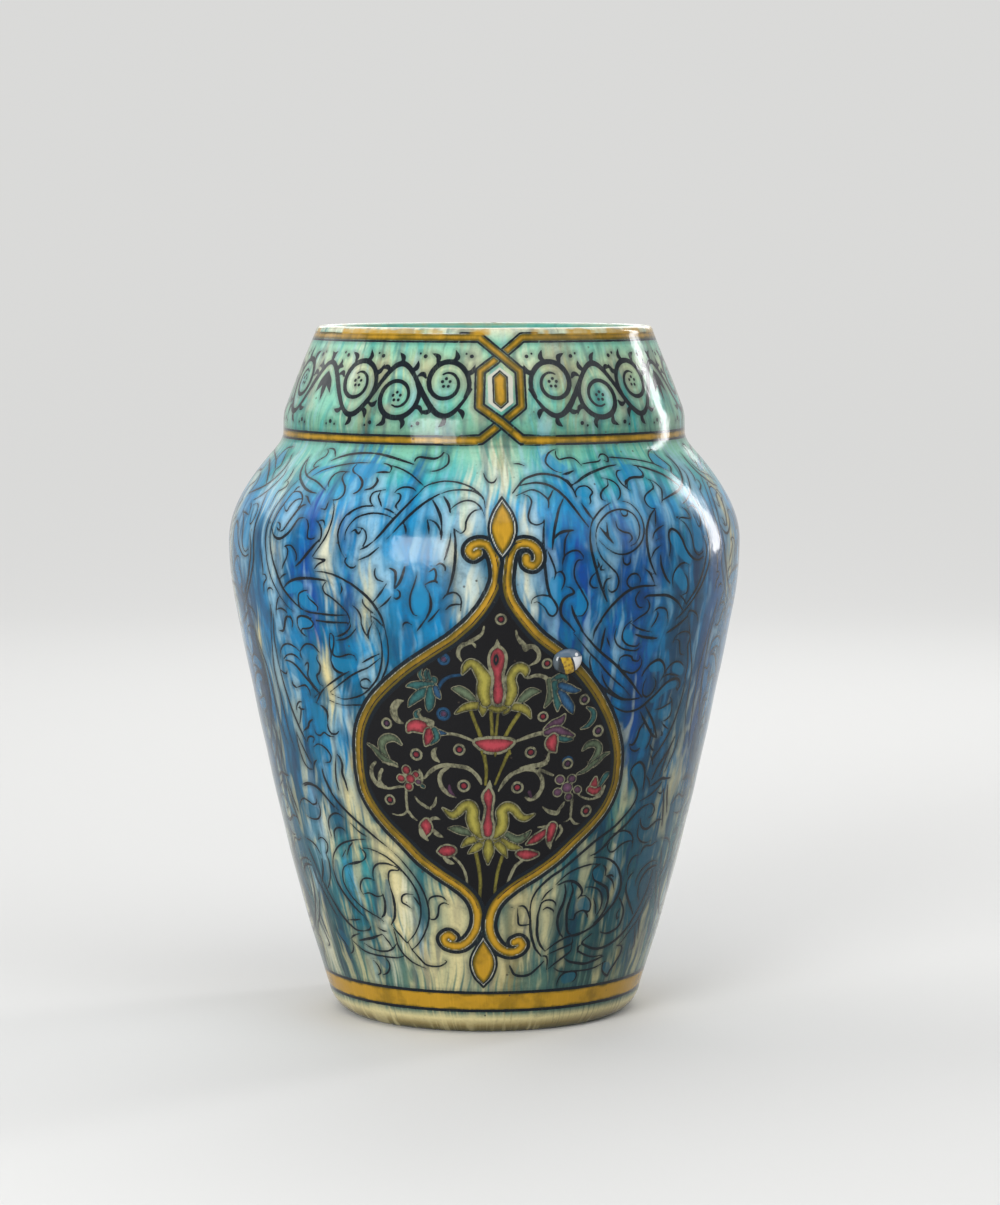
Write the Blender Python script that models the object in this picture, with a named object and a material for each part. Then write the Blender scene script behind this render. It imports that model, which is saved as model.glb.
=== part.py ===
import math

import bmesh
import bpy

# Heights of the sections, stacked from the table upwards (metres)
FOOT_HEIGHT = 0.0095         # rounded foot
LOWER_BODY_HEIGHT = 0.1755   # foot to the widest girth
SHOULDER_HEIGHT = 0.0435     # widest girth to the collar
NECK_HEIGHT = 0.0354         # collar to the lip
LIP_HEIGHT = 0.0061          # lip, with its full round top

# Outside radii, from the table upwards
STAND_RADIUS = 0.0550        # outer edge of the ring the vase stands on
FOOT_RADIUS = 0.0620         # top of the rounded foot
FLANK_RADIUS = 0.0941        # flank, part way up the lower body
BELLY_RADIUS = 0.1006        # widest girth
THROAT_RADIUS = 0.0827       # start of the hollow under the collar
COLLAR_RADIUS = 0.0787       # upright collar
RIM_RADIUS = 0.0676          # underside of the lip

# Where the outline turns, and how steeply it leans there (radius per height)
FLANK_HEIGHT = 0.1305        # flank point, above the foot
THROAT_DROP = 0.0075         # start of the hollow, below the collar
CORNER_HEIGHT = 0.0075       # corner of the neck, above the collar's base
CORNER_ROUND = 0.0030        # half height of that corner's rounding
FOOT_LEAN = 0.33
FLANK_LEAN = 0.20
THROAT_LEAN = -0.92

# Clay
BODY_WALL = 0.0055
NECK_WALL = 0.0050
RING_WIDTH = 0.0080          # width of the ring it stands on
RECESS_DEPTH = 0.0025        # hollow under the floor, inside the ring
COVE_RADIUS = 0.0040         # fillet of clay inside, between wall and floor

# Luted seams: a tongue on the lower section, a groove in the upper one
TONGUE_WIDTH = 0.0016
TONGUE_HEIGHT = 0.0015
SLIP_GAP = 0.0003            # slip between two sections

# Thick drop of glaze that ran and set on the wall
DROP_WIDTH = 0.0110
DROP_LENGTH = 0.0100
DROP_RISE = 0.0030
DROP_LEVEL = 0.1472          # height of its middle above the table
DROP_TURN = 18.9             # degrees round from the front, towards +X

SEGMENTS = 64
WALL_LEVELS = 12             # levels of the lower body's outline
DROP_RINGS = 4
DROP_SEGMENTS = 20

FOOT_TOP = FOOT_HEIGHT
FLANK_TOP = FOOT_TOP + FLANK_HEIGHT
BELLY_TOP = FOOT_TOP + LOWER_BODY_HEIGHT
COLLAR_BASE = BELLY_TOP + SHOULDER_HEIGHT
THROAT_TOP = COLLAR_BASE - THROAT_DROP
CORNER_TOP = COLLAR_BASE + CORNER_HEIGHT
LIP_BASE = COLLAR_BASE + NECK_HEIGHT
VASE_TOP = LIP_BASE + LIP_HEIGHT
CONE_LEAN = (RIM_RADIUS - COLLAR_RADIUS) / (LIP_BASE - CORNER_TOP)
LIP_ROUND = NECK_WALL / 2


def eased(z, low, high):
    """Radius on a smooth curve between two points of (height, radius, lean)."""
    span = high[0] - low[0]
    t = (z - low[0]) / span
    start = (2 * t ** 3 - 3 * t ** 2 + 1) * low[1] + (t ** 3 - 2 * t ** 2 + t) * span * low[2]
    end = (3 * t ** 2 - 2 * t ** 3) * high[1] + (t ** 3 - t ** 2) * span * high[2]
    return start + end


def outer_radius(z):
    """Outside of the vase at height z, from the top of the foot to the lip."""
    foot = (FOOT_TOP, FOOT_RADIUS, FOOT_LEAN)
    flank = (FLANK_TOP, FLANK_RADIUS, FLANK_LEAN)
    belly = (BELLY_TOP, BELLY_RADIUS, 0.0)
    throat = (THROAT_TOP, THROAT_RADIUS, THROAT_LEAN)
    collar = (COLLAR_BASE, COLLAR_RADIUS, 0.0)
    if z < FLANK_TOP:
        return eased(z, foot, flank)
    if z < BELLY_TOP:
        return eased(z, flank, belly)
    if z < THROAT_TOP:
        return eased(z, belly, throat)
    if z < COLLAR_BASE:
        return eased(z, throat, collar)
    if z < CORNER_TOP - CORNER_ROUND:
        return COLLAR_RADIUS
    if z < CORNER_TOP + CORNER_ROUND:
        into = (z - CORNER_TOP + CORNER_ROUND) / (2 * CORNER_ROUND)
        return COLLAR_RADIUS + CONE_LEAN * CORNER_ROUND * into ** 2
    return COLLAR_RADIUS + CONE_LEAN * (z - CORNER_TOP)


def inner_radius(z):
    """Inside of the wall at height z, the wall's thickness square to its lean."""
    step = 0.0004
    lean = (outer_radius(z + step) - outer_radius(z - step)) / (2 * step)
    share = min(1.0, max(0.0, (z - THROAT_TOP) / THROAT_DROP))
    wall = BODY_WALL + (NECK_WALL - BODY_WALL) * share
    return outer_radius(z) - wall * math.hypot(1.0, lean)


def heights(low, high, count):
    return [low + (high - low) * i / (count - 1) for i in range(count)]


def tongue(z):
    """Top edge of a section, outside to inside, with its tongue."""
    face = z - SLIP_GAP / 2
    middle = (outer_radius(z) + inner_radius(z)) / 2
    half = TONGUE_WIDTH / 2
    return [
        (outer_radius(face), face),
        (middle + half, face),
        (middle + half, face + TONGUE_HEIGHT),
        (middle - half, face + TONGUE_HEIGHT),
        (middle - half, face),
    ]


def groove(z):
    """Bottom edge of a section, inside to outside, with the groove for the tongue below."""
    face = z + SLIP_GAP / 2
    middle = (outer_radius(z) + inner_radius(z)) / 2
    half = TONGUE_WIDTH / 2 + SLIP_GAP
    return [
        (middle - half, face),
        (middle - half, face + TONGUE_HEIGHT),
        (middle + half, face + TONGUE_HEIGHT),
        (middle + half, face),
        (outer_radius(face), face),
    ]


def finish(bm, name, color, roughness):
    """Turn a mesh into a named object with its own material."""
    bmesh.ops.recalc_face_normals(bm, faces=bm.faces)
    mesh = bpy.data.meshes.new(name)
    bm.to_mesh(mesh)
    bm.free()
    for polygon in mesh.polygons:
        polygon.use_smooth = True
    mesh.set_sharp_from_angle(angle=math.radians(40))
    material = bpy.data.materials.new(name)
    material.use_nodes = True
    surface = material.node_tree.nodes["Principled BSDF"]
    surface.inputs["Base Color"].default_value = (*color, 1.0)
    surface.inputs["Roughness"].default_value = roughness
    surface.inputs["Metallic"].default_value = 0.0
    mesh.materials.append(material)
    piece = bpy.data.objects.new(name, mesh)
    bpy.context.scene.collection.objects.link(piece)


def turned(name, outline, color, roughness, closed=True):
    """Turn an outline of (radius, height) points about the vase's axis."""
    bm = bmesh.new()
    rings = []
    for radius, z in outline:
        if radius == 0.0:
            rings.append([bm.verts.new((0.0, 0.0, z))] * SEGMENTS)
            continue
        ring = []
        for i in range(SEGMENTS):
            turn = 2 * math.pi * i / SEGMENTS
            ring.append(bm.verts.new((radius * math.cos(turn), radius * math.sin(turn), z)))
        rings.append(ring)
    following = rings[1:] + rings[:1] if closed else rings[1:]
    for ring, other in zip(rings, following):
        for i in range(SEGMENTS):
            j = (i + 1) % SEGMENTS
            corners = [ring[i], ring[j], other[j], other[i]]
            bm.faces.new(list(dict.fromkeys(corners)))
    finish(bm, name, color, roughness)


def base_slab():
    """Floor slab with the ring it stands on and the rounded foot."""
    ring_inside = STAND_RADIUS - RING_WIDTH
    outline = [
        (0.0, RECESS_DEPTH),
        (ring_inside - RECESS_DEPTH, RECESS_DEPTH),
        (ring_inside, 0.0),
        (STAND_RADIUS, 0.0),
    ]
    bulge = FOOT_RADIUS - FOOT_LEAN * FOOT_HEIGHT * 0.5
    for i in range(1, 6):
        t = i / 6
        radius = (1 - t) ** 2 * STAND_RADIUS + 2 * t * (1 - t) * bulge + t ** 2 * FOOT_RADIUS
        z = (2 * t * (1 - t) * 0.25 + t ** 2) * FOOT_HEIGHT
        outline.append((radius, z))
    outline += tongue(FOOT_TOP)
    outline.append((0.0, FOOT_TOP - SLIP_GAP / 2))
    turned("base_slab", outline, (0.62, 0.55, 0.42), 0.55, closed=False)


def wall_levels():
    return heights(FOOT_TOP + SLIP_GAP / 2, BELLY_TOP, WALL_LEVELS)


def wall_radius(z):
    """Outside of the lower body at height z, straight between two levels of its outline."""
    levels = wall_levels()
    for low, high in zip(levels, levels[1:]):
        if z <= high:
            break
    share = (z - low) / (high - low)
    return outer_radius(low) * (1 - share) + outer_radius(high) * share


def lower_body():
    """Tall open cone of wall from the foot to the widest girth."""
    low = FOOT_TOP + SLIP_GAP / 2
    outline = [(outer_radius(z), z) for z in wall_levels()[1:-1]]
    outline += tongue(BELLY_TOP)
    top = BELLY_TOP - SLIP_GAP / 2
    cove_top = low + COVE_RADIUS
    outline += [(inner_radius(z), z) for z in reversed(heights(cove_top, top, 9))]
    for i in range(1, 4):
        turn = math.pi / 2 * i / 3
        radius = inner_radius(cove_top) - COVE_RADIUS * (1 - math.cos(turn))
        outline.append((radius, cove_top - COVE_RADIUS * math.sin(turn)))
    outline += groove(FOOT_TOP)
    turned("lower_body", outline, (0.22, 0.42, 0.60), 0.18)


def shoulder():
    """Domed section that closes in from the widest girth to the collar."""
    low = BELLY_TOP + SLIP_GAP / 2
    top = COLLAR_BASE - SLIP_GAP / 2
    levels = heights(low, THROAT_TOP, 9)[1:] + heights(THROAT_TOP, top, 5)[1:-1]
    outline = [(outer_radius(z), z) for z in levels]
    outline += tongue(COLLAR_BASE)
    levels = heights(low, THROAT_TOP, 7) + heights(THROAT_TOP, top, 4)[1:]
    outline += [(inner_radius(z), z) for z in reversed(levels)]
    outline += groove(BELLY_TOP)
    turned("shoulder", outline, (0.10, 0.28, 0.58), 0.16)


def neck_collar():
    """Upright collar that leans in to the rim above its corner."""
    low = COLLAR_BASE + SLIP_GAP / 2
    top = LIP_BASE - SLIP_GAP / 2
    corner = heights(CORNER_TOP - CORNER_ROUND, CORNER_TOP + CORNER_ROUND, 5)
    outline = [(outer_radius(z), z) for z in corner]
    outline += tongue(LIP_BASE)
    levels = [low] + corner[::2] + [top]
    outline += [(inner_radius(z), z) for z in reversed(levels)]
    outline += groove(COLLAR_BASE)
    turned("neck_collar", outline, (0.30, 0.62, 0.60), 0.16)


def rim_lip():
    """Lip with a full round top."""
    low = LIP_BASE + SLIP_GAP / 2
    straight = VASE_TOP - LIP_ROUND
    middle = outer_radius(straight) - LIP_ROUND
    outline = []
    for i in range(9):
        turn = math.pi * i / 8
        outline.append((middle + LIP_ROUND * math.cos(turn), straight + LIP_ROUND * math.sin(turn)))
    outline.append((inner_radius(low), low))
    outline += groove(LIP_BASE)
    turned("rim_lip", outline, (0.50, 0.68, 0.60), 0.18)


def wall_point(across, up, lift):
    """Point on the outside of the wall, moved from the middle of the drop and lifted off it."""
    z = DROP_LEVEL + up
    step = 0.0004
    lean = (wall_radius(z + step) - wall_radius(z - step)) / (2 * step)
    turn = math.radians(DROP_TURN) + across / wall_radius(DROP_LEVEL)
    scale = lift / math.hypot(1.0, lean)
    radius = wall_radius(z) + scale
    return (radius * math.sin(turn), -radius * math.cos(turn), z - lean * scale)


def glaze_drop():
    """Clear thick drop of glaze, resting on the wall."""
    bm = bmesh.new()
    layers = []
    for lift_share in (0.0, 1.0):
        rings = []
        for k in range(DROP_RINGS + 1):
            share = k / DROP_RINGS
            spread = math.sin(share * math.pi / 2)
            lift = SLIP_GAP + DROP_RISE * lift_share * math.cos(share * math.pi / 2)
            ring = []
            for i in range(DROP_SEGMENTS if k else 1):
                turn = 2 * math.pi * i / DROP_SEGMENTS
                across = DROP_WIDTH / 2 * spread * math.cos(turn)
                up = DROP_LENGTH / 2 * spread * math.sin(turn)
                if k == DROP_RINGS and layers:
                    ring.append(layers[0][k][i])
                else:
                    ring.append(bm.verts.new(wall_point(across, up, lift)))
            rings.append(ring if k else ring * DROP_SEGMENTS)
        layers.append(rings)
    for rings in layers:
        for ring, other in zip(rings, rings[1:]):
            for i in range(DROP_SEGMENTS):
                j = (i + 1) % DROP_SEGMENTS
                bm.faces.new(list(dict.fromkeys([ring[i], ring[j], other[j], other[i]])))
    finish(bm, "glaze_drop", (0.55, 0.62, 0.60), 0.05)


for item in list(bpy.data.objects):
    bpy.data.objects.remove(item, do_unlink=True)
base_slab()
lower_body()
shoulder()
neck_collar()
rim_lip()
glaze_drop()
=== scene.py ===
import math
import bpy
import numpy as np
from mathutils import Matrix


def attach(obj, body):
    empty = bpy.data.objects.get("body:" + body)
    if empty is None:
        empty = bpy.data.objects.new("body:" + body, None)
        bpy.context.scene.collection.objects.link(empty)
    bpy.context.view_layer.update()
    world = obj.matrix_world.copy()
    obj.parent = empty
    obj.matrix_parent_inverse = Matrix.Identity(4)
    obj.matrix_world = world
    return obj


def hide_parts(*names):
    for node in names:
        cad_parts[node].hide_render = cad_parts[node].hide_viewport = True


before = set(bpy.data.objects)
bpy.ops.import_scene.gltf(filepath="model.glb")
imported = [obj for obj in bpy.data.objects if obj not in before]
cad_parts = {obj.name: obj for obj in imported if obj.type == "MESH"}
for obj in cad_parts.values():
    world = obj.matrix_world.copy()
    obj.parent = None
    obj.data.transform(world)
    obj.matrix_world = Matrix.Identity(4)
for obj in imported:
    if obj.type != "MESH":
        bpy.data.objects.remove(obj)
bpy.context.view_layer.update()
print("stage: frame loaded")

# sizes in millimetres, heights above the table, angles in degrees round from the front towards +X
profile = {
    "foot": 9.5, "flank": 140.0, "belly": 185.0, "throat": 221.0, "collar": 228.5, "corner": 236.0,
    "lip": 263.9, "top": 270.0,
    "standRadius": 55.0, "footRadius": 62.0, "flankRadius": 94.1, "bellyRadius": 100.6,
    "throatRadius": 82.7, "collarRadius": 78.7, "rimRadius": 67.6,
    "footLean": 0.33, "flankLean": 0.20, "throatLean": -0.92, "cornerRound": 3.0,
    "bodyWall": 5.5, "neckWall": 5.0, "ringWidth": 8.0, "recess": 2.5, "cove": 4.0,
}
grid = {"sectorStart": -58.0, "sector": 120.0, "columns": 480, "step": 0.5}


def eased(z, low, high):
    span = high[0] - low[0]
    t = (z - low[0]) / span
    start = (2 * t ** 3 - 3 * t ** 2 + 1) * low[1] + (t ** 3 - 2 * t ** 2 + t) * span * low[2]
    end = (3 * t ** 2 - 2 * t ** 3) * high[1] + (t ** 3 - t ** 2) * span * high[2]
    return start + end


def outerRadius(z):
    p = profile
    z = np.asarray(z, float)
    foot = (p["foot"], p["footRadius"], p["footLean"])
    flank = (p["flank"], p["flankRadius"], p["flankLean"])
    belly = (p["belly"], p["bellyRadius"], 0.0)
    throat = (p["throat"], p["throatRadius"], p["throatLean"])
    collar = (p["collar"], p["collarRadius"], 0.0)
    lean = (p["rimRadius"] - p["collarRadius"]) / (p["lip"] - p["corner"])
    half = p["cornerRound"]
    into = (z - p["corner"] + half) / (2 * half)
    conditions = [z < p["flank"], z < p["belly"], z < p["throat"], z < p["collar"],
                  z < p["corner"] - half, z < p["corner"] + half]
    values = [eased(z, foot, flank), eased(z, flank, belly), eased(z, belly, throat),
              eased(z, throat, collar), np.full_like(z, p["collarRadius"]),
              p["collarRadius"] + lean * half * into ** 2]
    return np.select(conditions, values, p["collarRadius"] + lean * (z - p["corner"]))


def innerRadius(z):
    z = np.asarray(z, float)
    lean = (outerRadius(z + 0.4) - outerRadius(z - 0.4)) / 0.8
    share = np.clip((z - profile["throat"]) / (profile["collar"] - profile["throat"]), 0, 1)
    wall = profile["bodyWall"] + (profile["neckWall"] - profile["bodyWall"]) * share
    return outerRadius(z) - wall * np.hypot(1.0, lean)


def evenRows(points):
    # spaces (radius, height) points evenly along their path
    points = np.asarray(points, float)
    run = np.concatenate([[0], np.cumsum(np.hypot(*np.diff(points, axis=0).T))])
    count = max(2, int(round(run[-1] / grid["step"])) + 1)
    at = np.linspace(0, run[-1], count)
    return np.stack([np.interp(at, run, points[:, 0]), np.interp(at, run, points[:, 1])], 1)


def wallRows(low, high):
    z = np.linspace(low, high, 400)
    return evenRows(np.stack([outerRadius(z), z], 1))


p = profile
t = np.linspace(0, 1, 60)
bulge = p["footRadius"] - p["footLean"] * p["foot"] * 0.5
footCurve = np.stack([(1 - t) ** 2 * p["standRadius"] + 2 * t * (1 - t) * bulge + t ** 2 * p["footRadius"],
                      (2 * t * (1 - t) * 0.25 + t ** 2) * p["foot"]], 1)
lipRound = p["neckWall"] / 2
lipStraight = p["top"] - lipRound
lipMiddle = float(outerRadius(lipStraight)) - lipRound
turn = np.linspace(0, math.pi, 40)
lipCurve = np.concatenate([
    [[p["rimRadius"], p["lip"]]],
    np.stack([lipMiddle + lipRound * np.cos(turn), lipStraight + lipRound * np.sin(turn)], 1),
    [[float(innerRadius(p["lip"])), p["lip"]]]])
sections = {                                   # outside rows of each piece, from its lower edge up
    "foot": evenRows(footCurve),
    "lowerBody": wallRows(p["foot"], p["belly"]),
    "shoulder": wallRows(p["belly"], p["collar"]),
    "neck": wallRows(p["collar"], p["lip"]),
    "lip": evenRows(lipCurve),
}
firstRow = {}
rows = []
for name in sections:                          # neighbours share the row at their seam
    shared = 1 if rows else 0
    firstRow[name] = len(rows) - shared
    rows += sections[name].tolist()[shared:]
rows = np.array(rows)
rowRadius = rows[:, 0]
rowHeight = rows[:, 1]
rowRun = np.concatenate([[0], np.cumsum(np.hypot(*np.diff(rows, axis=0).T))])
crest = int(np.argmax(rowHeight))
columnAngle = grid["sectorStart"] + np.arange(grid["columns"]) * grid["sector"] / grid["columns"]
degree = math.pi / 180
print("stage: rows", len(rows), "columns", 3 * grid["columns"])

# painted layers over one third of the girth: signed distance in millimetres, negative inside
far = 4.0
layerNames = ["ink", "ground", "pale", "white", "olive", "teal", "blue", "sage", "red", "rose", "gold", "azure"]
layers = {name: np.full((len(rows), grid["columns"]), far) for name in layerNames}


def runAt(z):
    return np.interp(z, rowHeight[:crest + 1], rowRun[:crest + 1])


def smooth(points, per=7):
    # Catmull-Rom curve through given points; any further values ride along
    points = np.asarray(points, float)
    if len(points) < 3:
        at = np.linspace(0, 1, per + 1)[:, None]
        return points[0] * (1 - at) + points[-1] * at
    ends = np.concatenate([[2 * points[0] - points[1]], points, [2 * points[-1] - points[-2]]])
    out = []
    for a, b, c, d in zip(ends, ends[1:], ends[2:], ends[3:]):
        u = np.linspace(0, 1, per, endpoint=False)[:, None]
        out.append(0.5 * (2 * b + (c - a) * u + (2 * a - 5 * b + 4 * c - d) * u ** 2
                          + (3 * b - a - 3 * c + d) * u ** 3))
    return np.concatenate(out + [points[-1:]])


def strokeField(points, widths, curved=True):
    # distance from every grid point to the edge of a stroke with half widths along its line
    points = np.asarray(points, float)
    widths = np.broadcast_to(np.asarray(widths, float), len(points)) if np.ndim(widths) == 0 else np.interp(
        np.linspace(0, 1, len(points)), np.linspace(0, 1, len(widths)), widths)
    line = np.column_stack([points[:, 0], runAt(points[:, 1]), widths])
    line = smooth(line) if curved else straight(line)
    field = np.full((len(rows), grid["columns"]), far)
    for start in range(0, len(line) - 1, 5):
        part = line[start:start + 6]
        margin = far + part[:, 2].max()
        low = np.searchsorted(rowRun, part[:, 1].min() - margin)
        high = min(np.searchsorted(rowRun, part[:, 1].max() + margin), crest + 12)
        if high <= low:
            continue
        girth = rowRadius[low:high, None] * degree
        reach = margin / girth.min()
        spacing = grid["sector"] / grid["columns"]
        left = int(math.floor((part[:, 0].min() - reach - grid["sectorStart"]) / spacing))
        right = int(math.ceil((part[:, 0].max() + reach - grid["sectorStart"]) / spacing)) + 1
        angles = (grid["sectorStart"] + np.arange(left, right) * spacing)[None, :]
        run = rowRun[low:high, None]
        best = np.full((high - low, right - left), far)
        for a, b in zip(part, part[1:]):
            dx = (b[0] - a[0]) * girth
            dy = b[1] - a[1]
            px = (angles - a[0]) * girth
            py = run - a[1]
            at = np.clip((px * dx + py * dy) / (dx * dx + dy * dy + 1e-9), 0, 1)
            distance = np.hypot(px - at * dx, py - at * dy) - (a[2] + (b[2] - a[2]) * at)
            best = np.minimum(best, distance)
        index = np.arange(left, right) % grid["columns"]
        field[low:high, index] = np.minimum(field[low:high, index], best)
    return field


def straight(line):
    # points along the straight lengths of a line
    out = []
    for a, b in zip(line, line[1:]):
        at = np.linspace(0, 1, 5)[:, None]
        out.append(a * (1 - at) + b * at)
    return np.concatenate(out)


def cut(area, *names):
    for name in names:
        layers[name] = np.maximum(layers[name], -area)


def lay(name, area):
    layers[name] = np.minimum(layers[name], area)


def sheetPoints(at, places):
    # places read off a sheet, as angles and heights
    left, top, wide, tall = at
    return [(left + float(x) * wide, top - float(y) * tall) for x, y in (one.split(",") for one in places)]


# half widths of the brush, and how a stroke swells and thins along its line
brush = {"plain": 0.38, "bold": 0.55, "swell": (0.45, 0.95, 1.1, 1.0, 0.5)}

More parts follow.
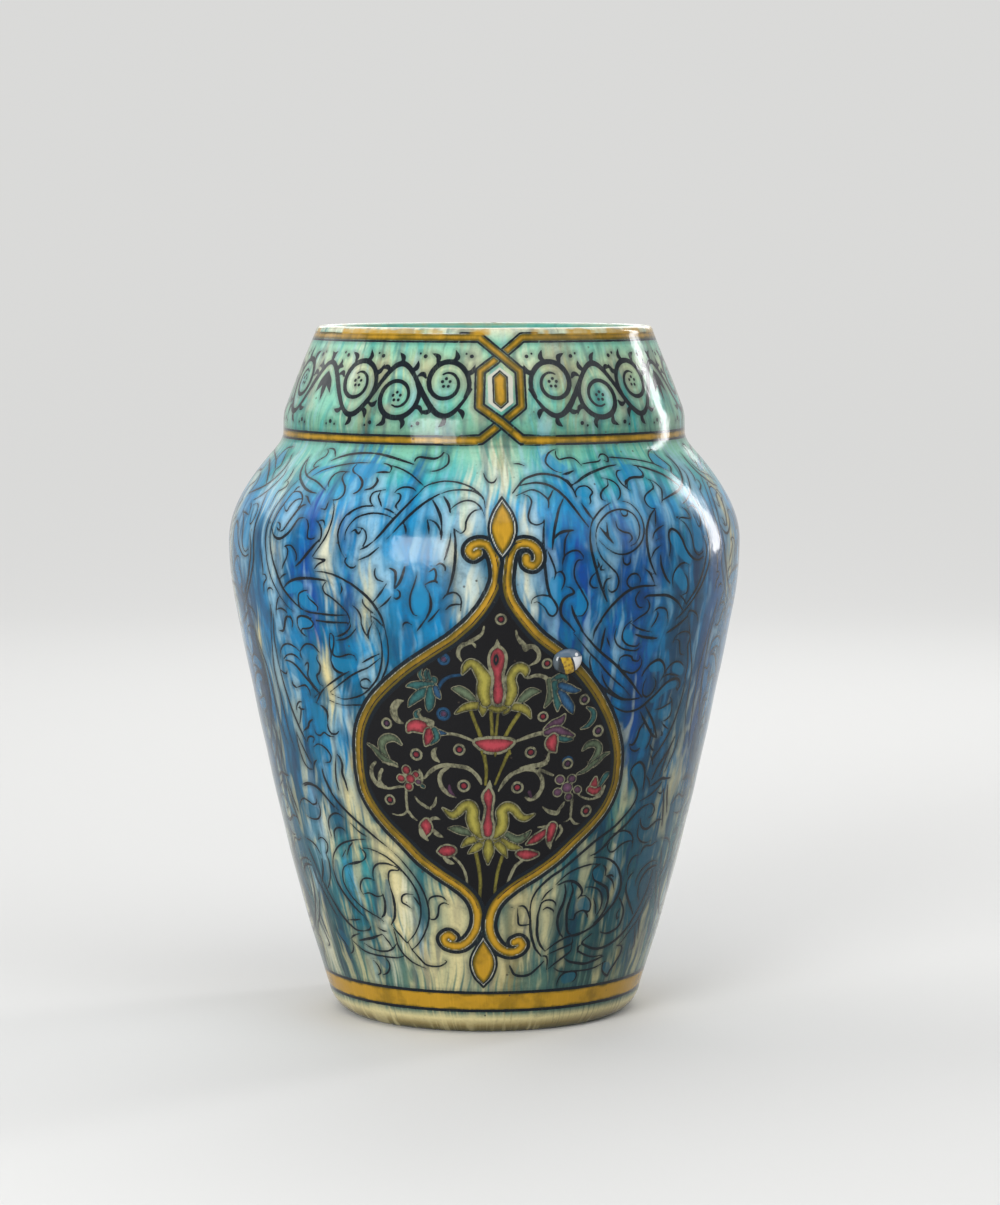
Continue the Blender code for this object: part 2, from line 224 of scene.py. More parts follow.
# the scroll drawing, four sheets for each side of the medallion:
# each has its left angle, top height and the steps of its points
scrolls = [
    {"at": (-62.0, 226.0, 0.0377, 0.0625), "bold": [
        "238,80 232,115 245,155 275,195 330,230 390,260 450,278 515,287", "488,98 540,78 600,62 680,50 780,44 901,48",
        "300,520 330,512 360,470 390,425 415,385 440,362 465,355",
        "222,510 240,540 270,560 310,565 350,550 390,520 420,480 445,440 480,430",
        "460,722 510,685 560,635 600,595 640,555", "345,860 380,832 430,808 490,794 560,788 640,790 710,797",
        "775,168 810,185 838,210 845,240 830,265 805,278",
        "213,550 225,610 245,680 270,740 300,800 335,860 380,905 430,945 480,980"], "plain": [
        "285,215 255,250 225,300 195,355 175,410 165,470 163,530 170,590 180,650 190,710 210,770 240,830 275,880"
        " 320,935 365,975 410,1000", "320,255 285,310 255,370 228,430 212,490 213,550",
        "480,980 540,995 640,1000 740,1002 830,995", "590,1045 700,1048 820,1040",
        "240,90 262,130 300,165 345,190 400,205 450,215 510,235 555,255 585,268",
        "381,33 400,40 412,55 405,75 375,92 355,108 352,130 370,140 408,130", "381,33 430,27 465,35 490,55 510,75",
        "400,190 450,160 520,138 600,120 680,108 760,101 840,98", "340,180 370,150 408,130",
        "735,110 722,135 740,155 775,168", "590,245 575,220 580,190 605,165 650,155 712,157",
        "690,155 668,170 672,195 700,220 725,245 735,280 720,305 690,318 665,318", "640,320 640,345 635,375 595,370",
        "668,318 695,355 708,410 705,470 690,525 660,575 625,620 598,655", "590,440 625,465 648,500 652,540 640,570",
        "600,445 645,440 668,470", "258,470 285,475 298,500 300,520", "262,495 280,510 300,520",
        "480,430 515,440 540,475 545,515 550,545 575,553 605,545",
        "275,320 300,290 350,283 390,298 415,325 418,360 405,375",
        "265,365 290,390 315,400 325,375 350,340 385,325 410,325", "420,305 450,310 480,335 505,352",
        "300,290 315,262 335,255", "360,605 385,615 395,640 380,680 355,715 340,745",
        "370,603 410,598 440,612 465,640 470,670 462,690", "310,810 345,785 380,770",
        "605,665 650,668 690,672 640,700 610,728", "615,742 680,745 740,755 800,775 850,800 901,828",
        "705,795 680,815 668,840 680,870 715,890 760,920 800,955 830,990 838,1030 820,1060", "795,805 803,840 790,870",
        "555,860 510,870 475,890 465,930 470,965 500,985", "540,890 560,915 590,935 615,960 610,985",
        "430,1085 435,1045 460,1025 510,1022 555,1030", "245,1000 290,990 330,1000 350,1020",
        "300,1085 320,1050 350,1035 380,1050 385,1085", "230,1040 245,990 270,940 290,920",
        "175,905 180,880 210,870 235,885", "190,970 180,1020 160,1085", "130,790 165,795 170,820 140,850 130,900",
        "118,650 130,700 140,760 135,800", "148,150 160,180 160,215 140,240",
        "160,225 190,240 188,262 155,282 125,300 120,390",
        "901,345 860,360 820,385 790,420 772,470 770,520 785,575 805,620 830,655"]},
    {"at": (-32.0, 226.0, 0.0377, 0.0625), "bold": [
        "0,43 80,48 180,62 270,80 370,102", "372,85 375,70 400,60 450,65 510,68 550,52 565,32",
        "445,268 400,320 345,385 300,440 255,500 215,545", "330,490 380,430 430,375 480,330 530,295 580,268",
        "540,300 575,350 600,400 612,460", "605,280 640,325 655,375", "310,700 345,720 350,760 340,820",
        "405,690 395,725 375,780 345,825", "680,465 690,520 693,580 690,660 680,730 665,790 645,850",
        "545,850 552,900 545,950 520,1000", "0,775 60,800 120,840 180,890 225,950 255,1010 270,1075",
        "135,178 150,205 130,240 80,255", "118,153 170,150 220,152"], "plain": [
        "150,100 215,112 300,132 380,165 440,203 480,228", "150,100 190,108 218,125 220,150",
        "445,268 485,225 530,208 590,196 650,197 710,207 770,228 820,260 850,295 860,345",
        "580,268 640,250 710,243 780,250 830,275 850,300", "215,545 170,580 130,600", "250,580 190,630 120,662",
        "290,535 330,490", "20,400 55,370 100,350 150,345 185,350", "235,355 280,365 330,390",
        "25,545 25,500 45,455 80,415 130,395 190,385 250,390 300,405 320,420", "60,500 85,485 100,500 115,505 125,485",
        "95,470 130,475 155,495 165,530 155,565 145,580", "45,650 32,675 60,705 90,708 105,695",
        "185,350 150,325 137,295 150,268 180,258 225,250", "195,265 190,290 215,325 230,350",
        "290,265 330,275 335,305 318,340 340,365", "290,265 310,245 350,232 400,237 430,255",
        "612,460 612,495 610,530", "520,410 535,460 540,500", "530,412 570,430 595,460 605,500",
        "655,355 690,325 740,305 790,310 830,340 855,390", "680,465 720,490 745,470 750,425 770,385 800,360 840,355",
        "665,490 660,540 645,600 630,650", "620,880 640,855 680,840 710,855 725,890 720,950",
        "635,945 660,920 700,910 722,915", "475,735 460,790 435,860 430,920 445,970 470,985", "520,800 545,850",
        "520,1000 490,1040 460,1080", "600,940 560,990 530,1020", "545,720 575,700 585,735 580,770 595,790",
        "520,795 560,775 590,775", "585,680 610,668 635,690 635,715", "230,700 222,735 235,770 275,785",
        "345,825 370,840 372,870 350,885 330,875", "295,795 250,860 205,910", "240,945 290,905 320,870",
        "140,895 145,925 180,960 215,985", "70,935 100,960 120,1000 118,1050", "185,960 185,1030",
        "185,990 225,1020 260,1060", "380,1060 385,1035 410,1025 435,1040",
        "565,32 600,45 610,75 605,100 570,125 525,138 480,140", "850,150 860,175 885,200 915,200 935,175",
        "380,430 400,470 405,500"]},
    {"at": (-64.0, 162.0, 0.0402, 0.0667), "bold": [
        "285,270 340,275 390,300 430,335 480,380 520,420 550,440", "620,790 640,810 650,850 640,900 655,950 665,1000",
        "465,890 470,930 490,970 520,1010", "205,300 225,440 262,560 310,660 350,730",
        "275,100 310,98 330,75 345,40 370,15", "675,240 690,285 720,305 750,310", "315,385 320,410 350,425",
        "540,510 570,525 590,550 585,600", "455,600 420,620 400,650 360,670"], "plain": [
        "240,0 225,60 210,120 203,170 205,230 205,300",
        "225,0 195,70 178,130 165,200 150,270 140,330 143,400 152,480 162,570 172,650 185,730 205,800",
        "370,15 400,10 412,40 400,75", "450,40 460,10 500,0 550,10 580,35 560,60 520,70 485,75 475,105",
        "450,40 460,75 490,105 515,115", "600,15 700,20 830,20", "835,0 835,40 800,75 760,95 730,100",
        "870,50 830,90 780,115 730,122",
        "690,90 700,85 715,105 710,150 695,195 710,215 750,215 800,200 840,205 855,235",
        "690,90 680,150 685,200 675,240", "885,245 940,215 1005,185", "600,405 660,370 740,325 800,295",
        "640,425 720,375 800,325 870,290 930,265 1005,210", "600,405 560,440 510,500", "560,430 500,470",
        "240,260 260,210 300,180 350,172 400,185 440,210", "270,265 310,240 360,230 400,240 430,260",
        "440,210 460,185 500,160 550,162 585,190 600,205", "455,255 440,230 440,205",
        "460,290 475,275 495,270 490,300 475,340 490,370 540,420",
        "580,215 570,245 590,280 575,320 550,340 560,380 590,400", "210,330 235,345 270,350 285,330",
        "350,425 400,410 440,405 465,430 470,465", "310,560 320,535 345,510 380,505", "330,540 365,548 400,545",
        "320,640 340,600 355,560 350,530", "360,670 340,685", "505,500 540,510",
        "585,600 580,640 600,670 640,670 665,650", "455,640 465,680 500,690 540,670 575,685 620,690",
        "365,740 380,715 410,703 440,710 425,740", "420,765 460,745 500,748 540,770 565,805 550,840 500,850",
        "380,900 400,860 430,840", "265,700 260,760 270,820 290,870 330,900 370,900",
        "265,690 300,760 340,830 370,870", "610,800 590,870 580,940 590,1010", "220,1005 270,990 330,990 390,1005",
        "980,0 1010,60 1020,130 1018,200 1005,260 980,320 940,370 880,420 800,450 720,460 640,435",
        "1035,0 1050,60 1058,130 1055,200 1040,260 1010,320 970,380 920,440 870,480 800,492 700,495 620,475",
        "865,350 880,340 910,335 935,355", "860,355 865,380 890,390 910,385", "905,10 920,60 945,105",
        "975,10 945,70 945,105"]},
    {"at": (-64.0, 98.0, 0.0509, 0.0667), "bold": [
        "375,0 400,50 440,110 490,160 540,205 600,255 660,305 720,350", "190,50 240,35 290,40 330,65 370,105 410,150",
        "655,640 660,700 645,760 620,785", "712,600 722,660 722,720 710,780 680,825",
        "400,950 460,935 520,920 600,890", "215,480 205,540 180,590 160,630", "550,455 500,470 440,485",
        "305,530 315,600 340,650 380,700 430,750 480,790",
        "150,580 200,680 250,760 300,820 350,860 400,885 460,885"], "plain": [
        "720,350 780,405 830,465 875,530 910,600 930,670 935,740 920,810 885,880 840,935 800,965",
        "350,80 385,120 440,165", "505,230 560,280 610,305",
        "545,380 600,375 660,390 720,420 780,470 830,530 865,590 885,660 885,740 865,810 830,870 780,920",
        "600,320 540,328 470,345 410,370 360,410 325,460 305,530", "480,790 520,830",
        "440,485 400,510 380,550 375,600 395,650 430,695 480,735 540,765 600,790 630,810",
        "540,375 575,400 575,430 550,455", "500,350 470,380 445,430", "440,400 405,445",
        "515,660 500,630 510,590 540,560 580,555 612,565", "612,565 608,530 620,490 650,462 700,455 750,465 790,490",
        "515,655 560,645 610,660 655,650", "790,495 750,490 720,500 708,540 712,600",
        "850,630 810,628 780,645 775,680 800,695 830,715", "850,640 870,670 885,700",
        "930,735 940,770 970,770 990,740 1000,690 1030,670 1055,680", "940,690 945,650 980,632 1020,635 1050,660",
        "90,440 110,490 150,580", "460,885 510,870 525,850", "340,830 400,825 450,815",
        "80,560 120,640 170,720 210,790 240,830", "330,945 360,925 420,905",
        "320,945 370,980 430,1010 500,1022 580,1025 680,1025 740,1010",
        "440,960 500,985 560,995 620,990 665,970 695,940", "605,890 640,930 665,970",
        "685,830 720,870 760,915 780,930", "690,850 700,890 705,940 730,990 780,1035 830,1060 880,1075",
        "780,920 800,965 840,1010 880,1050 930,1060 980,1055 1020,1030 1012,1018", "480,1045 520,1045",
        "490,1060 520,1090 530,1130 500,1150", "585,1025 615,1060 610,1100 580,1130 540,1145",
        "100,180 120,150 160,130 200,140 240,155 275,140 280,115", "290,140 295,180 280,220 250,240 200,245 150,235",
        "345,330 340,280 350,230 385,195 430,185 470,205", "370,340 375,300 400,275 440,270 460,285",
        "220,370 235,325", "215,365 255,350 290,370 295,400 280,430 265,440",
        "265,440 280,490 270,560 240,620 205,660", "60,375 130,385 180,410 215,460",
        "190,900 210,940 250,980 270,1010", "330,960 330,1000 310,1030 280,1045", "575,850 610,865 640,870"]},
    {"at": (6.0, 226.0, 0.0377, 0.0625), "bold": [
        "20,262 55,225 100,185 160,165 220,155 290,162 350,180 385,210 410,250 418,290",
        "60,222 120,210 180,205 240,215 290,240 340,285 380,340 420,405 460,465",
        "195,420 185,480 180,560 183,640 190,720 200,790 215,850 235,885 260,930",
        "330,300 295,350 270,410 250,470 238,530 230,590", "240,530 270,500 310,485 365,480",
        "365,160 400,155 450,140", "400,225 450,205 500,180 560,158 640,138 720,122 795,115",
        "440,325 465,375 490,415", "470,470 460,530 462,590 475,650 495,720 520,800 550,870 570,910",
        "530,470 570,520 605,565", "510,1088 535,1030 575,970 620,920 680,870 740,840 800,830 848,828",
        "348,925 365,975 395,1030 430,1085",
        "310,810 340,820 360,850 320,870 290,905 285,960 300,1000 340,1040 380,1085"], "plain": [
        "40,278 90,258 140,245 180,255 215,280 235,310 228,350", "275,250 245,290 232,310",
        "335,490 310,530 300,590 298,650", "85,268 120,285 130,315 115,355 102,395 112,430 145,445 180,435 195,415",
        "195,580 220,640 240,690 248,730 240,770", "365,15 330,25 295,45 268,85 285,115 320,140 365,152",
        "360,25 355,50 370,75 420,68 470,68 500,85 520,115", "520,105 580,98 660,92 690,80",
        "675,75 700,55 735,52 755,70 740,95 710,88", "760,70 800,72 848,78", "345,185 385,195 410,225",
        "415,290 425,255 460,232 510,232 535,265 510,290 505,320 490,335",
        "630,185 680,195 720,215 738,250 725,290 695,315", "670,200 660,230 620,250 590,275 585,305 610,320",
        "825,145 780,150 758,175 765,215 790,245 815,265", "790,240 810,210 848,195",
        "715,320 770,335 810,375 830,430 828,500 800,560 750,605 690,630 620,625 560,590 515,545",
        "640,328 580,355 530,390 490,430 470,470",
        "495,545 500,500 520,455 560,415 610,385 670,370 730,375 780,405 800,460 790,520 760,565 720,585",
        "495,545 505,600 530,650 580,700 625,745 640,790 630,835 600,855 575,840 572,815",
        "690,378 700,405 730,405 740,380", "640,435 645,475 680,500 720,510 735,540 710,565",
        "580,440 575,500 585,540", "665,635 670,680 695,695 715,680 712,645", "555,860 545,820 560,780 590,770",
        "495,650 510,690 505,705", "530,690 520,715 545,720", "490,735 465,760 455,795 475,822 505,825",
        "785,815 790,785 765,755 725,755 698,785 702,815 730,835 770,830",
        "290,710 290,660 305,625 340,603 380,600 410,630 415,660",
        "415,660 385,655 365,680 358,730 370,780 400,830 430,880 448,920 440,960 415,990 380,985",
        "248,730 280,722 300,750 300,790 285,830",
        "110,910 120,880 150,862 190,860 225,875 255,910 265,950 245,985 215,975 190,935 150,900 125,905",
        "40,97 80,97 115,108"]},
    {"at": (34.0, 226.0, 0.0377, 0.0625), "bold": [
        "190,120 260,132 330,150 420,180 490,220 540,258",
        "620,80 650,110 660,150 645,190 600,235 540,268 470,290 390,308 305,330",
        "60,245 75,215 110,195 160,190 220,190 245,170 225,130",
        "210,380 165,410 130,450 105,500 95,560 100,620 115,680 140,730 165,770",
        "195,650 200,700 215,740 245,790 280,825",
        "265,660 278,600 270,550 280,515 310,500 350,520 380,560 410,620 445,660 490,690 540,700 590,685",
        "625,300 640,350 655,420 650,500 655,560 665,620 665,700 645,760 600,840 550,900 490,960 430,1010 370,1050",
        "600,560 625,620 620,700 590,780 545,860 490,920 450,960",
        "85,905 110,890 180,892 250,895 310,915 370,950 420,1000"], "plain": [
        "20,70 100,75 200,85 300,98 400,118 470,140", "560,35 500,38 450,45 410,70 405,105 420,125 480,150 530,172",
        "495,50 505,80 540,110 570,145 540,175 555,200 585,225",
        "690,150 712,190 690,230 650,275 600,310 540,340 480,360",
        "250,195 280,225 275,255 240,270 190,290 160,315 160,345 185,370 230,375",
        "270,205 310,225 340,265 320,305 290,345", "215,385 195,430 180,480", "245,475 200,490 160,515 140,550",
        "210,545 165,560", "200,590 150,620 125,660",
        "370,435 420,460 455,500 475,550 485,610 505,650 545,670 590,650", "375,432 440,440 510,450",
        "455,375 490,400 510,450", "510,390 560,375 600,390 615,430 600,480 570,500 555,460 545,410",
        "310,855 300,800 315,755 355,720 400,708 440,720", "400,770 430,800 445,850 440,890 400,905",
        "370,900 420,935 450,970", "85,900 115,920 130,955 115,990 60,1020 20,1045",
        "170,990 200,970 250,975 280,1000 300,1060", "190,985 205,1010 190,1050 165,1085", "70,720 120,760 160,830",
        "75,725 150,765", "0,830 100,830 180,835", "50,855 25,890 25,920 50,955 80,960",
        "470,1050 490,1010 540,1015 580,1040 600,1080"]},
    {"at": (20.0, 162.0, 0.0402, 0.0667), "bold": [
        "40,45 90,100 140,150 200,200 270,250 340,310 410,370 460,420 510,465",
        "110,200 115,250 140,310 180,360 230,400 290,435 350,460 420,468 490,465",
        "290,490 340,520 400,538 460,535 510,520 560,490 620,450 670,410 720,385 780,375 820,390 838,420 820,445"
        " 805,430", "190,45 180,110 175,170", "390,90 450,110 510,120 560,125",
        "480,340 500,305 540,270 590,252 630,265 660,300 665,330", "630,100 680,80 740,50 800,15",
        "510,545 545,590 590,640 640,690 680,710", "545,515 585,560 625,605 660,660 690,715",
        "560,605 525,650 510,700 485,735 455,730", "890,380 890,470 870,560 840,640 790,720 740,780 690,840",
        "500,905 515,870 560,845 600,860 630,900 640,960 640,1015", "500,905 540,950 570,990 590,1020",
        "885,720 850,780 800,840 750,890 715,960", "710,1000 760,985 820,965 870,970 930,972"], "plain": [
        "0,65 50,120 110,185 170,240 230,300 290,350 360,400 420,455", "190,290 215,350 260,400 320,440 370,460",
        "120,110 125,60 145,20 170,0", "200,90 220,130 235,160",
        "360,10 320,40 305,80 310,115 340,145 380,158 415,160 430,145", "350,25 400,55 450,72 510,85",
        "260,50 255,100 275,140 310,165 360,180 410,185 440,170",
        "300,250 310,220 345,208 385,220 400,240 440,245 445,210",
        "445,215 465,250 455,290 410,315 365,305 320,285 300,250",
        "520,350 505,390 510,440 540,462 580,445 605,405 595,365 570,345",
        "640,380 670,330 710,290 760,275 810,285 850,320", "650,360 700,345 750,350 800,360", "620,0 630,40",
        "700,160 720,125 770,105 830,110 860,140 850,190 870,250 885,310 880,370 870,430",
        "720,145 755,155 770,190 785,230 820,240",
        "800,20 840,90 870,170 905,250 935,320 948,400 958,500 962,560 985,660 1030,780",
        "630,545 690,540 740,525 780,510", "745,475 780,500 795,550 790,590 750,615 705,620", "560,600 600,640",
        "455,735 480,765 520,775 550,760", "600,770 625,735 630,690 625,650", "705,620 750,650 790,670",
        "715,660 740,700 720,700", "625,735 660,775 695,790", "650,800 680,840 700,870", "690,870 690,830 720,790",
        "885,725 840,810 810,890 790,950", "940,700 920,780 880,860 840,930", "650,930 690,970 700,1010"]},
    {"at": (6.0, 98.0, 0.0509, 0.0667), "bold": [
        "715,0 740,50 740,100 715,150 670,200 620,250 560,290 500,330 440,380 380,430 320,480 260,520 210,565 175,610"
        " 155,660 150,710", "850,145 800,160 750,195 700,245 650,285 600,325 560,370 510,410",
        "150,710 155,770 160,830 175,890 200,950 240,995",
        "510,425 560,430 610,445 660,475 700,520 730,580 740,640 720,700 690,740 640,790 580,840 520,870 460,890"
        " 400,890", "215,670 200,740 200,800 205,870 230,930 265,970",
        "300,575 350,555 400,560 440,590 462,630 440,665", "345,570 355,620 350,680 330,740 325,800 345,860 370,890",
        "385,570 400,610 390,670 380,730 385,800 400,860 430,885",
        "510,515 530,560 580,590 630,620 655,680 650,740 620,790 580,825",
        "265,1030 225,1070 180,1105 130,1115 80,1105 55,1070 45,1050",
        "745,690 780,730 810,780 810,830 790,870 740,895 690,900 640,885",
        "575,890 530,920 515,940 560,965 620,985 690,985 760,965 830,930 890,880 940,820 980,750 1010,680 1020,600"
        " 1020,560", "400,1020 440,1045 500,1060 570,1070 650,1055 710,1040",
        "720,1080 730,1130 790,1170 810,1140 850,1090 880,1040 870,1000 820,990",
        "785,600 790,650 820,700 860,750 910,810", "905,640 920,590 960,555 1010,540 1060,540",
        "800,230 810,260 840,290 880,295 920,275 960,255 1000,260", "960,70 980,140 1000,220 1020,300",
        "990,50 1010,130 1040,220"], "plain": [
        "850,145 880,150 905,180 900,215 870,230", "600,300 640,290 690,285 740,305 770,345 775,400",
        "600,345 590,370 610,400 640,400 680,370 720,355 760,355 770,370", "590,350 560,375 520,400 480,415",
        "290,570 330,530 380,495 440,475 500,465 560,470", "215,660 240,620 275,590",
        "205,690 230,665 265,660 295,675 305,700", "225,720 250,705 285,720 295,735", "510,515 520,490 560,470",
        "480,600 530,605 580,630 610,680 610,740 590,780", "570,470 600,500 605,540",
        "440,660 480,650 520,680 535,720 525,750 480,740 440,755 430,790 395,785 380,780", "490,740 520,770 525,790",
        "545,670 570,720 580,770", "265,970 320,930 380,900 440,885 520,865",
        "285,990 340,970 400,950 440,935 440,905", "240,1000 270,1000 285,1020 290,1085",
        "440,930 440,980 400,1010 340,1050 300,1080", "600,540 640,560 670,590 690,640", "610,545 650,545 670,560",
        "770,760 755,790 765,820 780,810", "830,990 880,950 930,900 980,860 1030,780 1060,700",
        "480,940 490,980 520,1000 580,1025 640,1035 700,1030", "490,1000 495,960 510,950",
        "335,1075 380,1100 440,1108 520,1110 600,1110 670,1100 740,1075",
        "375,1195 380,1160 400,1125 440,1110 490,1110 515,1130 510,1160 490,1175", "785,600 800,570 830,545",
        "865,640 870,590 900,545 950,515 1010,505 1060,520", "905,640 915,690 940,730",
        "795,260 800,320 830,360 880,380 930,375", "860,450 870,415 900,400 950,405 1000,385",
        "860,450 810,450 780,480 770,520 780,560", "930,10 1000,12", "900,80 940,95 960,70",
        "770,120 840,95 900,60 930,30", "990,830 1020,900 1045,980", "965,880 1000,960 1020,1020 980,1040",
        "75,690 110,690 135,720 150,770", "75,700 80,750 90,800 130,805 150,800", "30,690 60,700"]},
]
# leaves with a stronger blue: sheet, line, half widths
blueLeaves = [
    (0, "740,130 790,150 850,150", (2.0, 2.6, 3.0)), (0, "490,900 540,930 590,965", (2.4, 3.0, 1.4)),
    (0, "380,870 430,850 490,840", (1.4, 2.2, 1.6)), (0, "300,330 340,310 390,310", (1.2, 2.0, 1.2)),
    (0, "400,170 470,150 560,128", (1.6, 1.6, 0.8)), (0, "470,1050 530,1045", (1.6, 1.8)),
    (0, "670,470 680,420", (1.0, 1.4)), (1, "10,150 90,130 190,132", (2.8, 2.4, 1.0)),
    (1, "20,190 40,230 20,265", (1.6, 1.8, 0.8)), (1, "490,790 490,880 480,960", (1.0, 3.0, 1.4)),
    (1, "250,900 290,850", (1.2, 1.6)), (1, "560,760 570,720", (1.0, 1.4)), (2, "490,40 550,40", (2.2, 2.2)),
    (2, "700,130 710,250 780,265 830,240", (0.6, 2.4, 2.6, 1.0)),
    (2, "540,400 510,330 540,280 550,220", (1.2, 2.0, 2.4, 2.2)), (2, "280,220 340,200 420,225", (1.4, 2.0, 1.2)),
    (2, "490,540 530,590 530,650", (2.6, 3.4, 2.2)), (2, "470,780 440,830", (2.2, 2.0)),
    (2, "300,300 380,330 470,400", (1.4, 2.4, 1.6)), (3, "140,190 210,200 260,190", (2.4, 2.8, 1.6)),
    (3, "360,270 390,230 430,215", (1.4, 1.8, 1.2)), (3, "180,600 230,570 245,500", (1.0, 2.2, 1.2)),
    (3, "695,560 690,660 685,760", (0.8, 1.6, 1.4)), (3, "345,480 340,580 400,690", (1.0, 1.8, 1.2)),
    (3, "555,1040 580,1080", (1.6, 1.4)), (3, "230,940 270,970", (2.4, 2.0)),
    (4, "290,70 330,110 370,120", (2.4, 2.6, 1.6)), (4, "440,260 480,260 510,280", (2.0, 2.4, 1.4)),
    (4, "250,780 240,850 260,900", (2.2, 2.8, 2.0)), (4, "400,850 420,930 390,970", (1.6, 2.6, 1.4)),
    (4, "190,900 230,950", (2.0, 2.2)), (4, "290,350 260,450 220,560", (1.4, 2.2, 1.2)),
    (5, "60,180 130,150 220,160", (2.6, 3.0, 2.0)), (5, "200,310 190,350", (2.0, 2.0)),
    (5, "450,90 500,130", (2.6, 2.4)), (5, "320,560 370,620 440,690", (2.6, 3.0, 2.0)),
    (5, "540,480 540,600", (2.4, 3.0)), (5, "350,780 400,840", (2.8, 2.4)), (6, "560,290 610,290", (2.0, 2.0)),
    (6, "540,680 560,720", (2.6, 3.0)), (6, "560,890 600,960", (2.6, 2.6)), (6, "700,570 760,560", (2.2, 2.2)),
    (6, "760,310 820,330", (2.0, 2.0)), (6, "340,90 360,130", (2.2, 2.0)),
    (6, "600,480 700,420 780,410", (1.6, 1.8, 1.4)), (7, "650,330 700,320 750,340", (2.0, 2.2, 1.6)),
    (7, "850,320 900,330", (3.0, 3.0)), (7, "820,620 860,690", (2.4, 2.6)), (7, "440,1150 480,1140", (2.2, 2.2)),
    (7, "540,520 560,550", (2.0, 2.0)), (7, "480,700 500,720", (2.6, 2.4)), (7, "760,1110 790,1130", (2.0, 1.6)),
    (7, "900,470 960,440", (3.2, 3.0)),
]
for page in scrolls:
    for kind in ("bold", "plain"):
        for text in page[kind]:
            widths = [brush[kind] * one for one in brush["swell"]]
            lay("ink", strokeField(sheetPoints(page["at"], text.split()), widths))
for number, text, half in blueLeaves:
    lay("azure", strokeField(sheetPoints(scrolls[number]["at"], text.split()), half))
print("stage: scrolls drawn")

# medallion: gold border straps with volutes, each as angles and heights from its top, and black ground
strap = {"half": 1.75, "outline": 1.45, "inset": 0.66, "line": 0.2}
border = [
    [(-1.1, 188.2), (-2.2, 187.2), (-3.0, 188.8), (-2.4, 190.8), (-0.7, 191.7), (1.0, 190.6), (2.1, 187.2),
     (2.7, 182.9), (2.7, 178.5), (1.9, 174), (0.2, 168.6), (-1.4, 164.9), (-3, 161.8), (-5.1, 158.6), (-7.3, 155.5),
     (-10.2, 152.3), (-13, 149.2), (-15.8, 146.1), (-18.4, 143), (-20.7, 139.9), (-22.8, 137), (-26.5, 131.2),
     (-29.4, 124.6), (-31.2, 118), (-32, 110.6), (-32.3, 103.6), (-31.8, 96.2), (-29.5, 89.2), (-26, 82.8),
     (-21.7, 76.6), (-17.5, 70.4), (-12.2, 64.8), (-7.6, 60.6), (-4.8, 57.4), (-3.1, 54.4), (-2.1, 51),
     (-1.8, 47), (-2.4, 43), (-4.1, 39.2), (-6.6, 36.5), (-9.2, 35.9), (-11.6, 36.8), (-12.4, 38.8), (-10.9, 40.4),
     (-9.6, 39.4)],
    [(9.0, 186.4), (9.2, 184.2), (10.6, 183.4), (11.6, 185.4), (11.4, 188.6), (10.2, 191), (8.4, 191.6), (6.6, 190.4),
     (5.6, 187), (5.2, 182.4), (5, 177), (5.6, 171.6), (7.1, 167), (8.4, 164), (10, 160.6), (12, 157), (14.2, 154),
     (16.8, 150.8), (19.4, 147.4), (22.2, 143.2), (24.6, 139), (27, 134.4), (29, 130), (31.2, 124.6), (33.2, 118.4),
     (34.9, 111), (35.5, 104), (35.3, 97), (33.2, 89.4), (29.6, 83), (25, 76.8), (20.2, 70.5), (14.6, 65), (9.8, 61),
     (6.6, 57.7), (4.3, 54.6), (2.8, 51.4), (1.8, 47), (1.7, 43), (2.8, 38.8), (5, 35.2), (7.8, 33.6), (10.4, 34),
     (11.9, 36), (10.9, 38.2), (9.4, 37.6)]]
outer = (np.arange(len(rows)) <= crest)[:, None]              # rows outside the crest of the lip
groundSpan = (46, 180)                                        # heights between which the straps bound the ground
inside = outer & True
for side, sign in zip(border, (1, -1)):
    side = np.array(sorted([one for one in side if groundSpan[0] < one[1] < groundSpan[1]], key=lambda one: one[1]))
    within = (rowHeight >= side[0, 1]) & (rowHeight <= side[-1, 1])
    edge = np.interp(rowHeight, side[:, 1], side[:, 0])[:, None]
    inside = inside & within[:, None] & (sign * (columnAngle[None, :] - edge) > 0)
borderFields = [strokeField(one, strap["half"]) for one in border]
borderField = np.minimum(*borderFields)
toLine = borderField + strap["half"]
ground = np.where(inside, -np.minimum(toLine, far), toLine)
cut(ground - 3.0, "ink", "azure")
lay("ground", ground)

